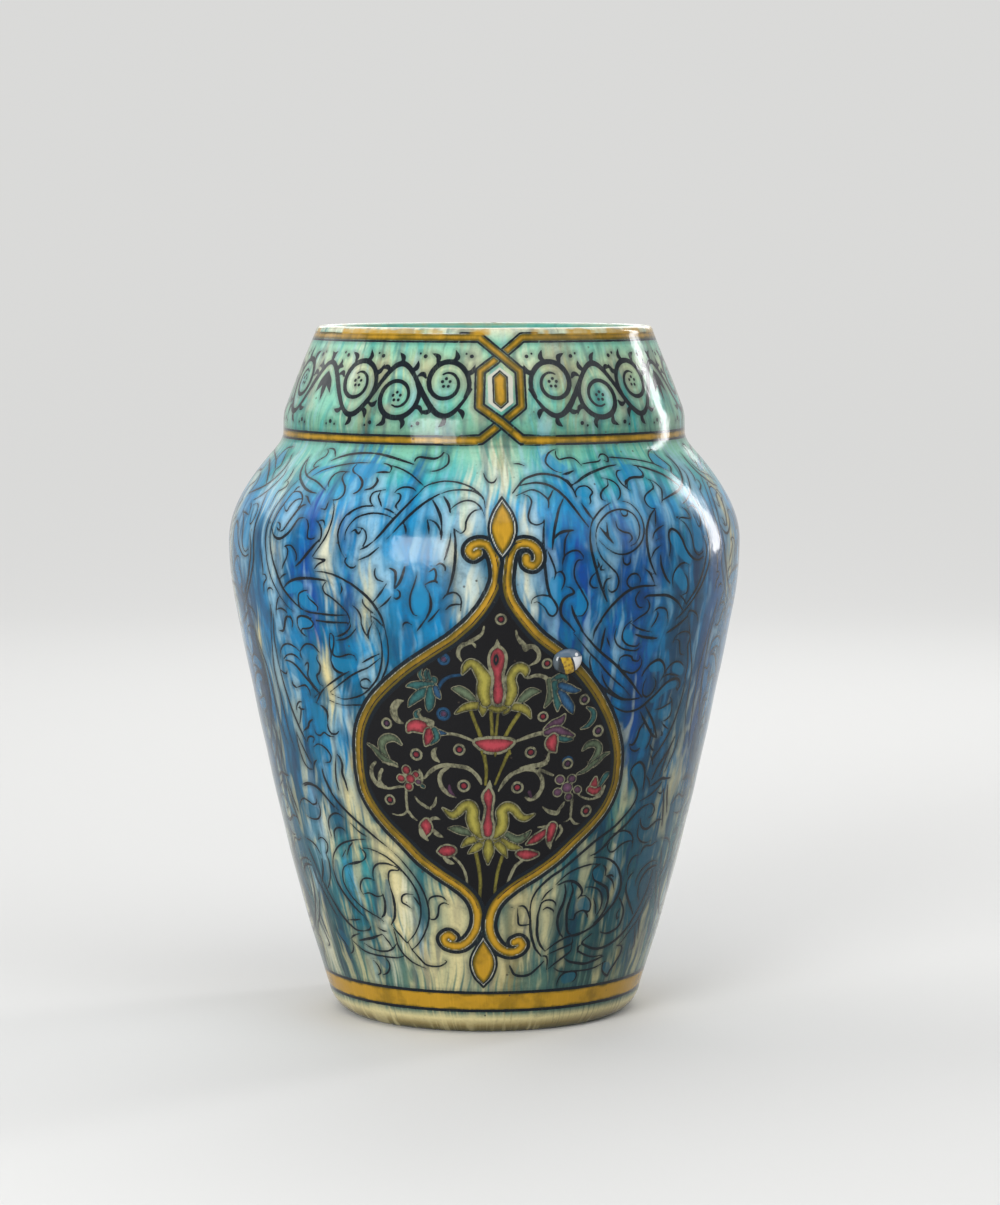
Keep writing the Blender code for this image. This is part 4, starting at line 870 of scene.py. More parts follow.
# runs of glaze: angle, half width, top, bottom, colour, strength
# the dark navy, slate, ocean and deep runs on the right, from about 24 to 63 degrees round, are partly the glaze's own
# dark blue and partly painted shade on that side
pours = [
    (-72, 5, 222, 196, "azure", 0.8), (-67, 2.5, 190, 172, "ice", 0.6), (-68, 6, 172, 120, "navy", 0.7),
    (-61, 3, 222, 204, "ivory", 0.6), (-63, 2, 203, 188, "ice", 0.7), (-58, 2.5, 200, 170, "navy", 0.5),
    (-55, 1.8, 217, 199, "ivory", 0.7), (-52, 2.6, 192, 170, "ivory", 0.7), (-48, 3.5, 214, 192, "azure", 0.8),
    (-41, 2.8, 209, 155, "cobalt", 0.95), (-45.5, 2, 190, 165, "cobalt", 0.6), (-35, 2.3, 202, 171, "ivory", 0.9),
    (-30, 3.6, 223, 206, "azure", 0.95), (-35, 3, 225, 206, "sky", 0.7), (-31, 2.4, 204, 184, "cobalt", 0.6),
    (-26, 2.2, 216, 200, "ice", 0.6), (-26, 3, 194, 172, "ice", 0.8), (-25.6, 2.2, 180, 152, "cream", 0.85),
    (-30.5, 2, 176, 160, "cobalt", 0.6), (-21, 2, 212, 198, "ice", 0.6), (-17, 2.4, 219, 201, "azure", 0.95),
    (-20, 3, 200, 172, "sky", 0.6), (-15.5, 3, 188, 148, "azure", 0.6), (-10, 3, 190, 150, "azure", 0.85),
    (-12, 1.6, 206, 188, "lake", 0.6), (-4, 3.6, 214, 163, "ivory", 0.9), (-6.5, 1.4, 182, 160, "sand", 0.5),
    (9.5, 2.2, 202, 163, "ivory", 0.85), (3, 5, 224, 207, "ivory", 0.9), (-8, 3, 220, 204, "aqua", 0.7),
    (13, 2.2, 218, 205, "ice", 0.7), (15, 2.6, 200, 158, "cobalt", 0.7), (20.5, 3.4, 217, 192, "azure", 0.95),
    (21, 3.6, 198, 156, "cobalt", 0.9), (27, 2, 217, 178, "ice", 0.65), (31.5, 2.6, 204, 160, "cobalt", 0.75),
    (38, 3.4, 220, 196, "azure", 1.0), (37, 3, 196, 150, "cobalt", 0.7), (42, 2.4, 204, 150, "cobalt", 0.6),
    (46, 1.8, 212, 192, "ice", 0.75), (49, 5, 192, 120, "navy", 0.6), (52, 2.4, 223, 203, "turquoise", 0.85),
    (54, 4, 202, 140, "navy", 0.6), (60, 3, 222, 197, "ice", 0.75), (63, 5, 196, 100, "cobalt", 0.5),
    (25.5, 1.8, 160, 147, "ice", 0.6), (30, 4, 160, 128, "cobalt", 0.75), (39, 4, 150, 104, "cobalt", 0.8),
    (45, 4, 140, 92, "navy", 0.7), (55, 6, 128, 60, "teal", 0.6), (41, 2.2, 98, 78, "sage", 0.7),
    (-62, 1.8, 158, 137, "cream", 0.85), (-54, 1.5, 142, 116, "ice", 0.55), (-57, 4, 134, 104, "lake", 0.6),
    (-48, 4, 164, 128, "azure", 0.6), (-39, 1.7, 150, 122, "cream", 1.0), (-44.5, 2.6, 128, 106, "azure", 0.55),
    (-38.5, 3.2, 124, 98, "sky", 0.75), (-34, 2.4, 134, 114, "ice", 0.75), (-27, 3, 158, 138, "sky", 0.7),
    (-36, 3.2, 108, 80, "cream", 0.95), (-51, 2.4, 104, 64, "ice", 0.75), (-60, 5, 104, 58, "teal", 0.7),
    (-44, 2, 108, 92, "ice", 0.5), (-70, 4, 84, 58, "sky", 0.5), (-60, 1.8, 58, 43, "ice", 0.9),
    (-61, 3.4, 44, 16, "ivory", 0.9), (-52, 3.4, 50, 16, "sea", 0.8), (-66, 2.4, 60, 30, "sea", 0.7),
    (-45, 3.4, 74, 50, "aqua", 0.5), (-44, 2.2, 52, 36, "sea", 0.7), (-35, 3.4, 58, 16, "sea", 0.6),
    (-40, 2, 34, 18, "sky", 0.4), (-26, 4, 80, 38, "cream", 0.95), (-31, 3, 84, 60, "cream", 0.5),
    (-18, 5, 38, 16, "cream", 0.95), (-20.5, 2.4, 47, 36, "ice", 0.6), (-9, 6, 60, 16, "cream", 0.9),
    (3, 5, 34, 16, "cream", 0.8), (9, 5, 62, 16, "sand", 0.75), (13, 2.5, 52, 36, "cream", 0.6),
    (20, 3.4, 66, 34, "cream", 0.5), (26, 4, 44, 16, "slate", 0.5), (38, 12, 84, 16, "slate", 0.62),
    (50, 2.4, 34, 18, "reed", 0.7), (33, 3, 70, 40, "sea", 0.45), (58, 6, 62, 16, "slate", 0.7),
    (-42, 3.4, 263, 243, "ivory", 0.55), (-34, 3.6, 257, 230, "sand", 0.6), (-51, 4, 256, 238, "mint", 0.6),
    (-70, 5, 258, 240, "aqua", 0.5), (-66, 3, 246, 230, "turquoise", 0.5), (-26, 2.4, 262, 248, "aqua", 0.6),
    (-20, 4, 262, 248, "sand", 0.4), (-10, 3, 256, 232, "turquoise", 0.35), (14, 3, 262, 250, "ivory", 0.55),
    (14, 3, 248, 236, "aqua", 0.5), (24, 5, 262, 240, "sand", 0.6), (33, 3, 246, 231, "turquoise", 0.4),
    (46, 2.2, 256, 231, "turquoise", 1.0), (52, 4, 242, 229, "sea", 0.5), (60, 4, 258, 236, "mint", 0.5),
    (-45, 4, 228, 214, "aqua", 0.6), (14, 4, 228, 218, "turquoise", 0.7), (-66, 8, 230, 218, "turquoise", 0.5),
    (38, 6, 229, 216, "turquoise", 0.5), (56, 8, 170, 24, "ocean", 0.5), (44, 5, 130, 66, "ocean", 0.6),
    (37, 3.4, 100, 80, "sage", 0.55), (49, 2, 36, 24, "sand", 0.7), (-50, 2.2, 156, 116, "azure", 0.6),
    (-64, 3, 150, 96, "deep", 0.5), (-57, 2, 180, 150, "azure", 0.6), (-42, 2, 124, 96, "azure", 0.7),
    (-47, 2.4, 86, 70, "ivory", 0.75), (-24, 2.6, 60, 40, "ivory", 0.85), (-41, 2.6, 66, 55, "sky", 0.7),
    (-57, 4, 56, 22, "deep", 0.6), (-63, 2.2, 58, 46, "ivory", 0.8), (-48, 2.6, 213, 186, "ice", 0.6),
    (-28, 3, 214, 190, "ice", 0.5), (-33, 4, 222, 210, "azure", 0.7), (-60, 8, 229, 216, "turquoise", 0.6),
    (16, 2.4, 222, 204, "azure", 0.7), (30, 2.4, 228, 214, "turquoise", 0.7), (29, 1.8, 200, 172, "ice", 0.5),
    (24, 4, 54, 26, "deep", 0.5), (33, 1.8, 152, 118, "azure", 0.5), (27, 1.4, 150, 126, "azure", 0.5),
    (-66, 3, 40, 20, "ivory", 0.7), (-55, 2.2, 84, 66, "ice", 0.6), (-36, 3, 72, 50, "aqua", 0.5),
    (-31, 1.8, 50, 20, "ivory", 0.6), (-46, 1.6, 40, 20, "cream", 0.6), (35, 2.2, 212, 190, "ice", 0.5),
    (50, 1.6, 200, 170, "sky", 0.5), (45, 1.2, 182, 150, "sky", 0.5), (40, 2, 72, 58, "ice", 0.55),
    (14, 3, 60, 36, "cream", 0.6), (33, 2, 44, 24, "reed", 0.6), (-10, 2, 214, 196, "ice", 0.5),
    (5, 2.6, 228, 217, "sand", 0.55), (-24, 3, 190, 160, "ice", 0.35),
]
for back in range(30):
    turnTo = 72 + back * 7.4 + rng.uniform(-2, 2)
    topTo = rng.uniform(150, 222)
    name = ["cobalt", "azure", "ivory", "cobalt", "cream", "azure", "navy", "sky"][rng.integers(8)]
    pours.append((turnTo, rng.uniform(2.4, 6), topTo, topTo - rng.uniform(30, 80), name, rng.uniform(0.5, 0.9)))
    name = ["cream", "ivory", "sea", "ice", "slate"][rng.integers(5)]
    pours.append((turnTo + 3, rng.uniform(3, 7), rng.uniform(50, 90), rng.uniform(14, 30), name,
                  rng.uniform(0.4, 0.8)))
    if back % 2:
        name = ["sand", "turquoise", "ivory", "mint"][rng.integers(4)]
        pours.append((turnTo, rng.uniform(3, 6), 260, 230, name, rng.uniform(0.3, 0.6)))
height = rowHeight[:, None]
for angle, half, top, bottom, name, strength in pours:
    sway = angle + 0.8 * np.sin(height / 9.0 + angle) + 0.5 * np.sin(height / 3.7 + 2 * angle)
    offset = (girthAngle[None, :] - sway + 180) % 360 - 180
    ragged = 3.5 * np.sin(offset * 2.3 + angle) + 2.5 * np.sin(offset * 5.1 + 3 * angle)
    across = np.exp(-(offset / half) ** 2)
    along = np.clip((top + ragged - height) / 9 + 0.5, 0, 1) * np.clip((height - bottom - 2 * ragged) / 14 + 0.5, 0, 1)
    cover = (strength * across * along * outer)[:, :, None]
    wash = wash * (1 - cover) + colourOf(name) * cover
wash[crest + 1:] = colourOf("turquoise") * 0.35 + colourOf("mint") * 0.65
print("stage: washes poured")


class Flow:
    # wraps a node's output so that shader maths reads as plain maths
    tree = None

    def __init__(self, socket):
        self.socket = socket

    @staticmethod
    def add(kind, settings, inputs, output=0):
        node = Flow.tree.nodes.new(kind)
        for key, value in settings.items():
            setattr(node, key, value)
        for key, value in inputs.items():
            if isinstance(value, Flow):
                Flow.tree.links.new(value.socket, node.inputs[key])
            else:
                node.inputs[key].default_value = value
        return Flow(node.outputs[output])

    def math(self, operation, other=0.0, third=0.0, clamp=False):
        return Flow.add("ShaderNodeMath", {"operation": operation, "use_clamp": clamp}, {0: self, 1: other, 2: third})

    def __add__(self, other):
        return self.math("ADD", other)

    def __radd__(self, other):
        return self.math("ADD", other)

    def __sub__(self, other):
        return self.math("SUBTRACT", other)

    def __rsub__(self, other):
        return (self * -1.0) + other

    def __mul__(self, other):
        return self.math("MULTIPLY", other)

    def __rmul__(self, other):
        return self.math("MULTIPLY", other)

    def ramp(self, low, high, first=0.0, last=1.0):
        return Flow.add("ShaderNodeMapRange", {"interpolation_type": "SMOOTHSTEP"},
                        {"Value": self, "From Min": low, "From Max": high, "To Min": first, "To Max": last})

    def blend(self, other, factor, mode="MIX"):
        return between(self, other, factor, mode)


def between(first, second, factor, mode="MIX"):
    return Flow.add("ShaderNodeMix", {"data_type": "RGBA", "blend_type": mode}, {0: factor, 6: first, 7: second}, 2)


def attribute(name, output=2):
    return Flow.add("ShaderNodeAttribute", {"attribute_name": name}, {}, output)


def noise(vector, scale, detail=3.0, rough=0.55, distortion=0.0):
    return Flow.add("ShaderNodeTexNoise", {}, {"Vector": vector, "Scale": scale, "Detail": detail, "Roughness": rough,
        "Distortion": distortion})


def stretched(vector, scale):
    return Flow.add("ShaderNodeVectorMath", {"operation": "MULTIPLY"}, {0: vector, 1: scale})


def colour(name, gain=1.0):
    return (*[gain * one for one in (paint[name] if isinstance(name, str) else name)], 1.0)


def newMaterial(name):
    material = bpy.data.materials.new(name)
    material.use_nodes = True
    Flow.tree = material.node_tree
    return material, material.node_tree.nodes["Principled BSDF"]


def glazeMaterial():
    material, surface = newMaterial("paintedGlaze")
    look = {"gold": (0.430, 0.238, 0.014), "goldDark": (0.085, 0.062, 0.004), "ink": (0.003, 0.007, 0.011),
        "pale": (0.205, 0.200, 0.125), "white": (0.470, 0.470, 0.400), "ground": (0.001, 0.001, 0.002),
        "olive": (0.225, 0.200, 0.034), "teal": (0.018, 0.105, 0.105), "blue": (0.012, 0.075, 0.170),
        "sage": (0.085, 0.120, 0.070), "red": (0.260, 0.026, 0.040), "rose": (0.095, 0.038, 0.080),
        "clay": (0.420, 0.310, 0.190), "chip": (0.120, 0.060, 0.025)}
    around = attribute("around", 1)
    place = Flow.add("ShaderNodeTexCoord", {}, {}, 3)
    # washes wander a little from the straight line of the run
    wander = Flow.add("ShaderNodeTexNoise", {}, {"Vector": place, "Scale": 48.0, "Detail": 2.0, "Roughness": 0.5}, 1)
    wander = Flow.add("ShaderNodeVectorMath", {"operation": "MULTIPLY_ADD"},
                      {0: wander, 1: (0.065, 0.065, 0.16), 2: around})
    # noise of the glaze: long streaks, fine streaks, clouds and mottle
    streak = noise(stretched(wander, (17.0, 17.0, 3.8)), 1.0, 1.6, 0.45, 0.5)
    fine = noise(stretched(around, (120.0, 120.0, 12.0)), 1.0, 3.0, 0.6)
    cloud = noise(stretched(around, (9.0, 9.0, 3.0)), 1.0, 3.0, 0.5, 0.4)
    mottle = noise(place, 900.0, 2.0, 0.6)
    tone = attribute("wash", 0)
    height = Flow.add("ShaderNodeSeparateXYZ", {}, {0: place}, 2)
    # runs of brighter blue, then pools and streaks where the glaze is thin or thick
    thin = between(colour("cream"), colour("ice", 1.1), height.ramp(0.09, 0.17))
    flow = noise(stretched(wander, (15.0, 15.0, 3.4)), 1.0, 1.6, 0.45, 0.5)
    belly = height.ramp(0.06, 0.12) * height.ramp(0.222, 0.20)
    tone = tone.blend(colour("azure"), flow.ramp(0.53, 0.66) * belly * 0.5)
    pool = noise(stretched(wander, (11.3, 11.3, 2.8)), 1.0, 2.0, 0.5, 0.6)
    tone = tone.blend(tone.blend(thin, 0.50), pool.ramp(0.53, 0.66) * height.ramp(0.224, 0.212))
    tone = tone.blend(tone.blend(thin, 0.42), streak.ramp(0.54, 0.72))
    tone = tone.blend(tone.blend(colour("navy"), 0.42), streak.ramp(0.47, 0.29) * height.ramp(0.004, 0.022))
    neckPool = noise(stretched(around, (7.0, 7.0, 3.4)), 1.0, 3.0, 0.6, 0.4)
    tone = tone.blend(colour((0.400, 0.390, 0.290)), neckPool.ramp(0.47, 0.66) * height.ramp(0.228, 0.240) * 0.62)
    tone = tone.blend(colour("turquoise"), neckPool.ramp(0.44, 0.34) * height.ramp(0.216, 0.230) * 0.45)
    # dirt, fine streaks and mottle, calmer inside
    dirt = noise(place, 85.0, 5.0, 0.68)
    tone = tone.blend(colour("deep"), dirt.ramp(0.56, 0.74) * 0.32)
    tone = tone.blend(colour("ivory"), fine.ramp(0.58, 0.82) * cloud.ramp(0.48, 0.66) * 0.09)
    tone = tone.blend(colour("sea"), fine.ramp(0.46, 0.26) * 0.09)
    tone = tone.blend(colour((0.05, 0.05, 0.035)), mottle.ramp(0.45, 0.8, 0.0, 0.16))
    tone = tone.blend(attribute("wash", 0), attribute("inner") * 0.7)
    tone = Flow.add("ShaderNodeGamma", {}, {"Color": tone, "Gamma": 1.24})
    tone = tone.blend((1.18, 1.20, 1.12, 1), 1.0, "MULTIPLY")
    wobble = (noise(place, 420.0, 2.0) - 0.5) * 0.32
    feather = noise(stretched(around, (300.0, 300.0, 40.0)), 1.0, 2.0)

    def cover(name, soft=0.13):
        # share of a painted layer, with an uneven edge
        return (attribute(name) + wobble).ramp(soft, -soft)

    # glaze darkened beside the lines, leaves, ground and flowers
    tone = tone.blend(colour("deep"), attribute("ink").ramp(1.8, 0.2) * 0.34)
    leafTone = between(colour("teal", 0.9), colour("azure", 0.85), height.ramp(0.07, 0.19))
    tone = tone.blend(leafTone, cover("azure", 0.5) * 0.62)
    grain = noise(place, 160.0, 4.0, 0.6)
    tone = tone.blend(colour(look["ground"]), cover("ground", 0.2))
    hatch = noise(stretched(around, (90.0, 90.0, 60.0)), 1.0, 3.0, 0.6)
    tone = tone.blend(colour(look["pale"]), cover("pale") * (grain * 0.5 + hatch * 0.5).ramp(0.36, 0.60, 0.22, 1.0))
    for name in fillNames:
        depth = (attribute(name) * -0.50 + grain * 0.7 + hatch * 0.9 - 0.82).math("ADD", 0.0, 0.0, True)
        shade = between(colour(look[name], 0.30), colour(look[name], 1.45), depth)
        tone = tone.blend(shade, cover(name) * 0.95)
    # gold, duller on the medallion's flanks
    goldDepth = (attribute("gold") * -0.42 + (streak * 0.5 + grain * 0.6 - 0.55) * 1.1).ramp(0.08, 0.72)
    goldShade = between(colour(look["goldDark"]), colour(look["gold"]), goldDepth)
    goldShade = goldShade.blend(colour(look["gold"], 1.35), fine.ramp(0.5, 0.75) * goldDepth * 0.5)
    flank = height.ramp(0.055, 0.080) * height.ramp(0.172, 0.140)
    dull = (cloud * 0.5 + grain * 0.5).ramp(0.35, 0.65, 0.40, 0.85)
    goldShade = goldShade.blend(colour(look["goldDark"]), flank * dull)
    goldShade = goldShade.blend(colour(look["goldDark"]), noise(place, 62.0, 4.0, 0.6).ramp(0.47, 0.66) * 0.5)
    tone = tone.blend(goldShade, cover("gold", 0.16))
    tone = tone.blend(colour(look["white"]), cover("white") * grain.ramp(0.15, 0.5, 0.7, 1.0))
    dry = (feather * 0.5 + grain * 0.5).ramp(0.24, 0.50, 0.75, 1.0)
    tone = tone.blend(colour(look["ink"]), cover("ink", 0.12) * dry)
    # pinholes and iron specks
    specks = Flow.add("ShaderNodeTexVoronoi", {}, {"Vector": place, "Scale": 210.0, "Randomness": 1.0}, 0)
    patch = noise(place, 55.0, 2.0)
    speck = specks.ramp(0.13, 0.06) * patch.ramp(0.52, 0.66)
    tone = tone.blend(colour((0.03, 0.022, 0.015)), speck * 0.85)
    # paler towards the crest of the lip, partly the rim's own ivory glaze and partly a painted highlight; worn chips
    # on it
    worn = (attribute("edge") + noise(place, 130.0, 4.0, 0.65) * 0.9).ramp(1.47, 1.58)
    tone = tone.blend(colour("ivory", 1.15), attribute("edge").ramp(0.35, 1.0) * 0.55)
    # amber stain between the top band and the lip
    stain = noise(stretched(around, (4.0, 4.0, 1.0)), 1.0, 3.0, 0.6).ramp(0.40, 0.52) * height.ramp(0.2668, 0.2678)
    stain = stain * (height + (grain - 0.5) * 0.003).ramp(0.2698, 0.2690) * (1.0 - attribute("inner"))
    tone = tone.blend(colour(look["gold"], 1.05), stain * (streak * 0.5 + grain * 0.5).ramp(0.3, 0.6, 0.5, 0.95))
    tone = tone.blend(colour(look["chip"]), worn * 0.85)
    # bare clay under the foot
    bare = attribute("bare")
    grit = noise(place, 260.0, 5.0, 0.65).ramp(0.3, 0.7)
    clay = between(colour(look["clay"], 0.75), colour(look["clay"], 1.2), grit)
    tone = tone.blend(clay, bare)
    rough = cloud.ramp(0.3, 0.7, 0.11, 0.18) + cover("ground", 0.2) * 0.05 + speck * 0.3
    rough = rough.math("MAXIMUM", (bare * 0.85).math("MAXIMUM", worn * 0.6))
    ripple = noise(stretched(around, (16.0, 16.0, 14.0)), 1.0, 2.0) * 0.6 + noise(place, 380.0, 2.0) * 0.03
    ripple = ripple + cover("ink", 0.3) * 0.02 - speck * 0.08 + bare * noise(place, 700.0, 3.0) * 0.25
    bump = Flow.add("ShaderNodeBump", {}, {"Strength": 0.12, "Distance": 0.002, "Height": ripple})
    Flow.tree.links.new(tone.socket, surface.inputs["Base Color"])
    Flow.tree.links.new(rough.socket, surface.inputs["Roughness"])
    Flow.tree.links.new(bump.socket, surface.inputs["Normal"])
    surface.inputs["IOR"].default_value = 1.5
    surface.inputs["Specular IOR Level"].default_value = 0.24
    return material


def dropMaterial():
    # clear bead: a strap of the border's gold painted as if seen through it, a pale painted highlight at its right, a
    # painted glint near its top right, a paler painted sheen at its left edge and a grey-blue top
    material, surface = newMaterial("clearDrop")
    look = {"dark": (0.016, 0.020, 0.022), "crown": (0.105, 0.165, 0.235), "side": (0.120, 0.160, 0.190),
        "amber": (0.300, 0.170, 0.010), "gold": (0.620, 0.400, 0.020), "paintedHighlight": (0.900, 0.910, 0.920)}
    across = attribute("across")
    rim = attribute("rim")
    cloudy = noise(Flow.add("ShaderNodeTexCoord", {}, {}, 3), 700.0, 3.0)
    upward = attribute("upward")
    slant = across + upward * 0.32 + 0.10 + (cloudy - 0.5) * 0.12
    crown = (upward + (cloudy - 0.5) * 0.3).ramp(0.30, 0.52)
    tone = between(colour(look["dark"]), colour(look["crown"]), crown)
    # paler left edge of the bead: a painted sheen
    tone = tone.blend(colour(look["side"]), across.ramp(-0.62, -0.82) * 0.7)
    stripe = slant.ramp(-0.40, -0.32) * slant.ramp(0.34, 0.28) * upward.ramp(0.46, 0.36)
    tone = tone.blend(between(colour(look["amber"]), colour(look["gold"]), cloudy.ramp(0.36, 0.60)), stripe)
    # pale painted highlight at the bead's right, standing in for light shining through it
    paintedHighlight = slant.ramp(0.42, 0.48) * upward.ramp(0.46, 0.38) * rim.ramp(0.97, 0.90)
    paintedHighlight = paintedHighlight * (upward - across * 0.5).ramp(-1.05, -0.92)
    tone = tone.blend(colour(look["paintedHighlight"]), paintedHighlight)
    # small white painted glint near the bead's top right
    glintAcross = across - 0.52
    glintUp = upward - 0.58
    tone = tone.blend(colour(look["paintedHighlight"]), (glintAcross * glintAcross + glintUp * glintUp).ramp(0.022, 0.008))
    Flow.tree.links.new(tone.socket, surface.inputs["Base Color"])
    Flow.tree.links.new(cloudy.ramp(0.3, 0.8, 0.02, 0.07).socket, surface.inputs["Roughness"])
    surface.inputs["Transmission Weight"].default_value = 0.3
    surface.inputs["IOR"].default_value = 1.48
    return material


glaze = glazeMaterial()
clear = dropMaterial()


def wobbleAt(angles, z):
    # slight unevenness of a hand-thrown wall
    a = angles * degree
    slow = 0.22 * np.sin(2 * a + 0.6 + z / 70) + 0.12 * np.sin(3 * a - z / 38)
    return slow + 0.07 * np.sin(z / 4.3 + 0.4 * np.sin(a))


def ringPoints(radius, z):
    # points of rings at the given radii and heights, in metres
    angles = girthAngle[None, :]
    z = np.asarray(z, float)[:, None]
    fade = np.clip(z / 12, 0, 1) * np.clip((270.5 - z) / 8, 0, 1)
    r = np.asarray(radius, float)[:, None] + wobbleAt(angles, z) * fade * (np.asarray(radius)[:, None] > 40)
    return np.stack([r * np.sin(angles * degree), -r * np.cos(angles * degree), np.broadcast_to(z, r.shape)], 2) / 1000


def store(mesh, name, values, kind="FLOAT", field="value"):
    data = np.asarray(values, np.float32).ravel()
    mesh.attributes.new(name, kind, "POINT").data.foreach_set(field, data)


def placed(name, data):
    thing = bpy.data.objects.new(name, data)
    bpy.context.scene.collection.objects.link(thing)
    return thing


def makePiece(name, outRows, inside, node, splits, bareRows=0):
    # closed ring: painted outside rows, then plain inside rows back to the first
    start = firstRow[outRows]
    stop = start + len(sections[outRows])
    outside = np.arange(start, stop)
    vertices = np.concatenate([ringPoints(rowRadius[outside], rowHeight[outside]),
                               ringPoints([one[0] for one in inside], [one[1] for one in inside])])
    count = len(vertices)
    values = {layer: np.full((count, columns), far) for layer in layerNames}
    for layer in layerNames:
        values[layer][:len(outside)] = np.tile(layers[layer][outside], (1, 3))
    tint = np.empty((count, columns, 3))
    tint[:len(outside)] = wash[outside]
    # inside wall, paler near the mouth and darker deeper in: painted shade inside the vessel
    paintedLight = np.clip((vertices[len(outside):, :, 2:] * 1000 - 215) / 50, 0, 1) * 0.4 + 0.25
    tint[len(outside):] = colourOf("turquoise") * (1 - paintedLight) + colourOf("mint") * paintedLight
    inner = np.zeros((count, columns))
    inner[:len(outside)] = np.clip((outside - crest) / 6, 0, 1)[:, None]
    inner[len(outside):] = 1
    bare = np.zeros((count, columns))
    if bareRows:
        bare[count - bareRows:] = 1
    edge = np.zeros((count, columns))
    edge[:len(outside)] = np.exp(-((rowRun[outside] - rowRun[crest]) / 2.2) ** 2)[:, None]
    angles = np.broadcast_to(girthAngle[None, :] * degree, (count, columns))
    around = np.stack([np.sin(angles), -np.cos(angles), vertices[:, :, 2] * 10], 2)
    i = np.arange(count)[:, None]
    j = np.arange(columns)[None, :]
    after = (i + 1) % count * columns
    right = (j + 1) % columns
    quads = np.stack([i * columns + j, i * columns + right, after + right, after + j], 2).reshape(-1, 4)
    mesh = bpy.data.meshes.new(name)
    mesh.vertices.add(count * columns)
    mesh.vertices.foreach_set("co", vertices.astype(np.float32).ravel())
    mesh.loops.add(quads.size)
    mesh.loops.foreach_set("vertex_index", quads.astype(np.int32).ravel())
    mesh.polygons.add(len(quads))
    mesh.polygons.foreach_set("loop_start", np.arange(0, quads.size, 4, dtype=np.int32))
    mesh.polygons.foreach_set("use_smooth", np.ones(len(quads), bool))
    # outside unwrapped in stacked rows, inside in a strip at the top
    uv = np.zeros((len(i), columns, 4, 2))
    per = columns // splits
    band = np.minimum(j // per, splits - 1)
    for corner, (dj, di) in enumerate([(0, 0), (1, 0), (1, 1), (0, 1)]):
        across = ((j - band * per + dj) / per) * 0.985 + 0.0075
        painted = i < len(outside) - 1
        share = (i + di) / max(1, len(outside) - 1)
        up = (band + 0.02 + 0.96 * share) / splits * 0.9
        strip = 0.905 + 0.09 * (i + di - len(outside) + 1) / max(1, len(i) - len(outside) + 1)
        uv[:, :, corner, 0] = np.where(painted, across, (j + dj) / columns * 0.985 + 0.0075)
        uv[:, :, corner, 1] = np.where(painted, up, strip)
    mesh.uv_layers.new(name="OFBake").uv.foreach_set("vector", uv.astype(np.float32).ravel())
    for layer in layerNames:
        store(mesh, layer, values[layer])
    for key, value in (("bare", bare), ("edge", edge), ("inner", inner)):
        store(mesh, key, value)
    store(mesh, "around", around, "FLOAT_VECTOR", "vector")
    store(mesh, "wash", np.concatenate([tint, np.ones((count, columns, 1))], 2), "FLOAT_COLOR", "color")
    mesh.update(calc_edges=True)
    mesh.set_sharp_from_angle(angle=math.radians(40))
    mesh.materials.append(glaze)
    piece = placed(name, mesh)
    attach(piece, "root")
    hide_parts(node)


def insideRows(low, high, count):
    z = np.linspace(high, low, count)
    return list(zip(innerRadius(z).tolist(), z.tolist()))


cove = []
for k in range(1, 6):
    lean = math.pi / 2 * k / 5
    coveTop = p["foot"] + p["cove"]
    cove.append((float(innerRadius(coveTop)) - p["cove"] * (1 - math.cos(lean)), coveTop - p["cove"] * math.sin(lean)))
ringInside = p["standRadius"] - p["ringWidth"]
footInside = [(float(innerRadius(p["foot"])) - 1, p["foot"]), (40, p["foot"]), (20, p["foot"]), (0.4, p["foot"]),
              (0.4, p["recess"]), (20, p["recess"]), (ringInside - p["recess"] - 1, p["recess"]),
              (ringInside - p["recess"], p["recess"] - 0.2), (ringInside, 0.2), (ringInside + 0.4, 0.0),
              (p["standRadius"] - 0.6, 0.0)]
makePiece("footGlaze", "foot", footInside, "base_slab", 4, bareRows=7)
makePiece("lowerBodyGlaze", "lowerBody", insideRows(p["foot"] + p["cove"], p["belly"], 40) + cove, "lower_body",
          2)
makePiece("shoulderGlaze", "shoulder", insideRows(p["belly"], p["collar"], 24), "shoulder", 3)
makePiece("neckGlaze", "neck", insideRows(p["collar"], p["lip"], 16), "neck_collar", 3)
makePiece("lipGlaze", "lip", [(lipMiddle, p["lip"])], "rim_lip", 6)
print("stage: glazed sections made")

drop = {"width": 11.0, "length": 10.0, "rise": 3.0, "sag": 0.14, "gap": 0.05, "level": 147.2, "turn": 18.9,
        "rings": 20, "segments": 56}


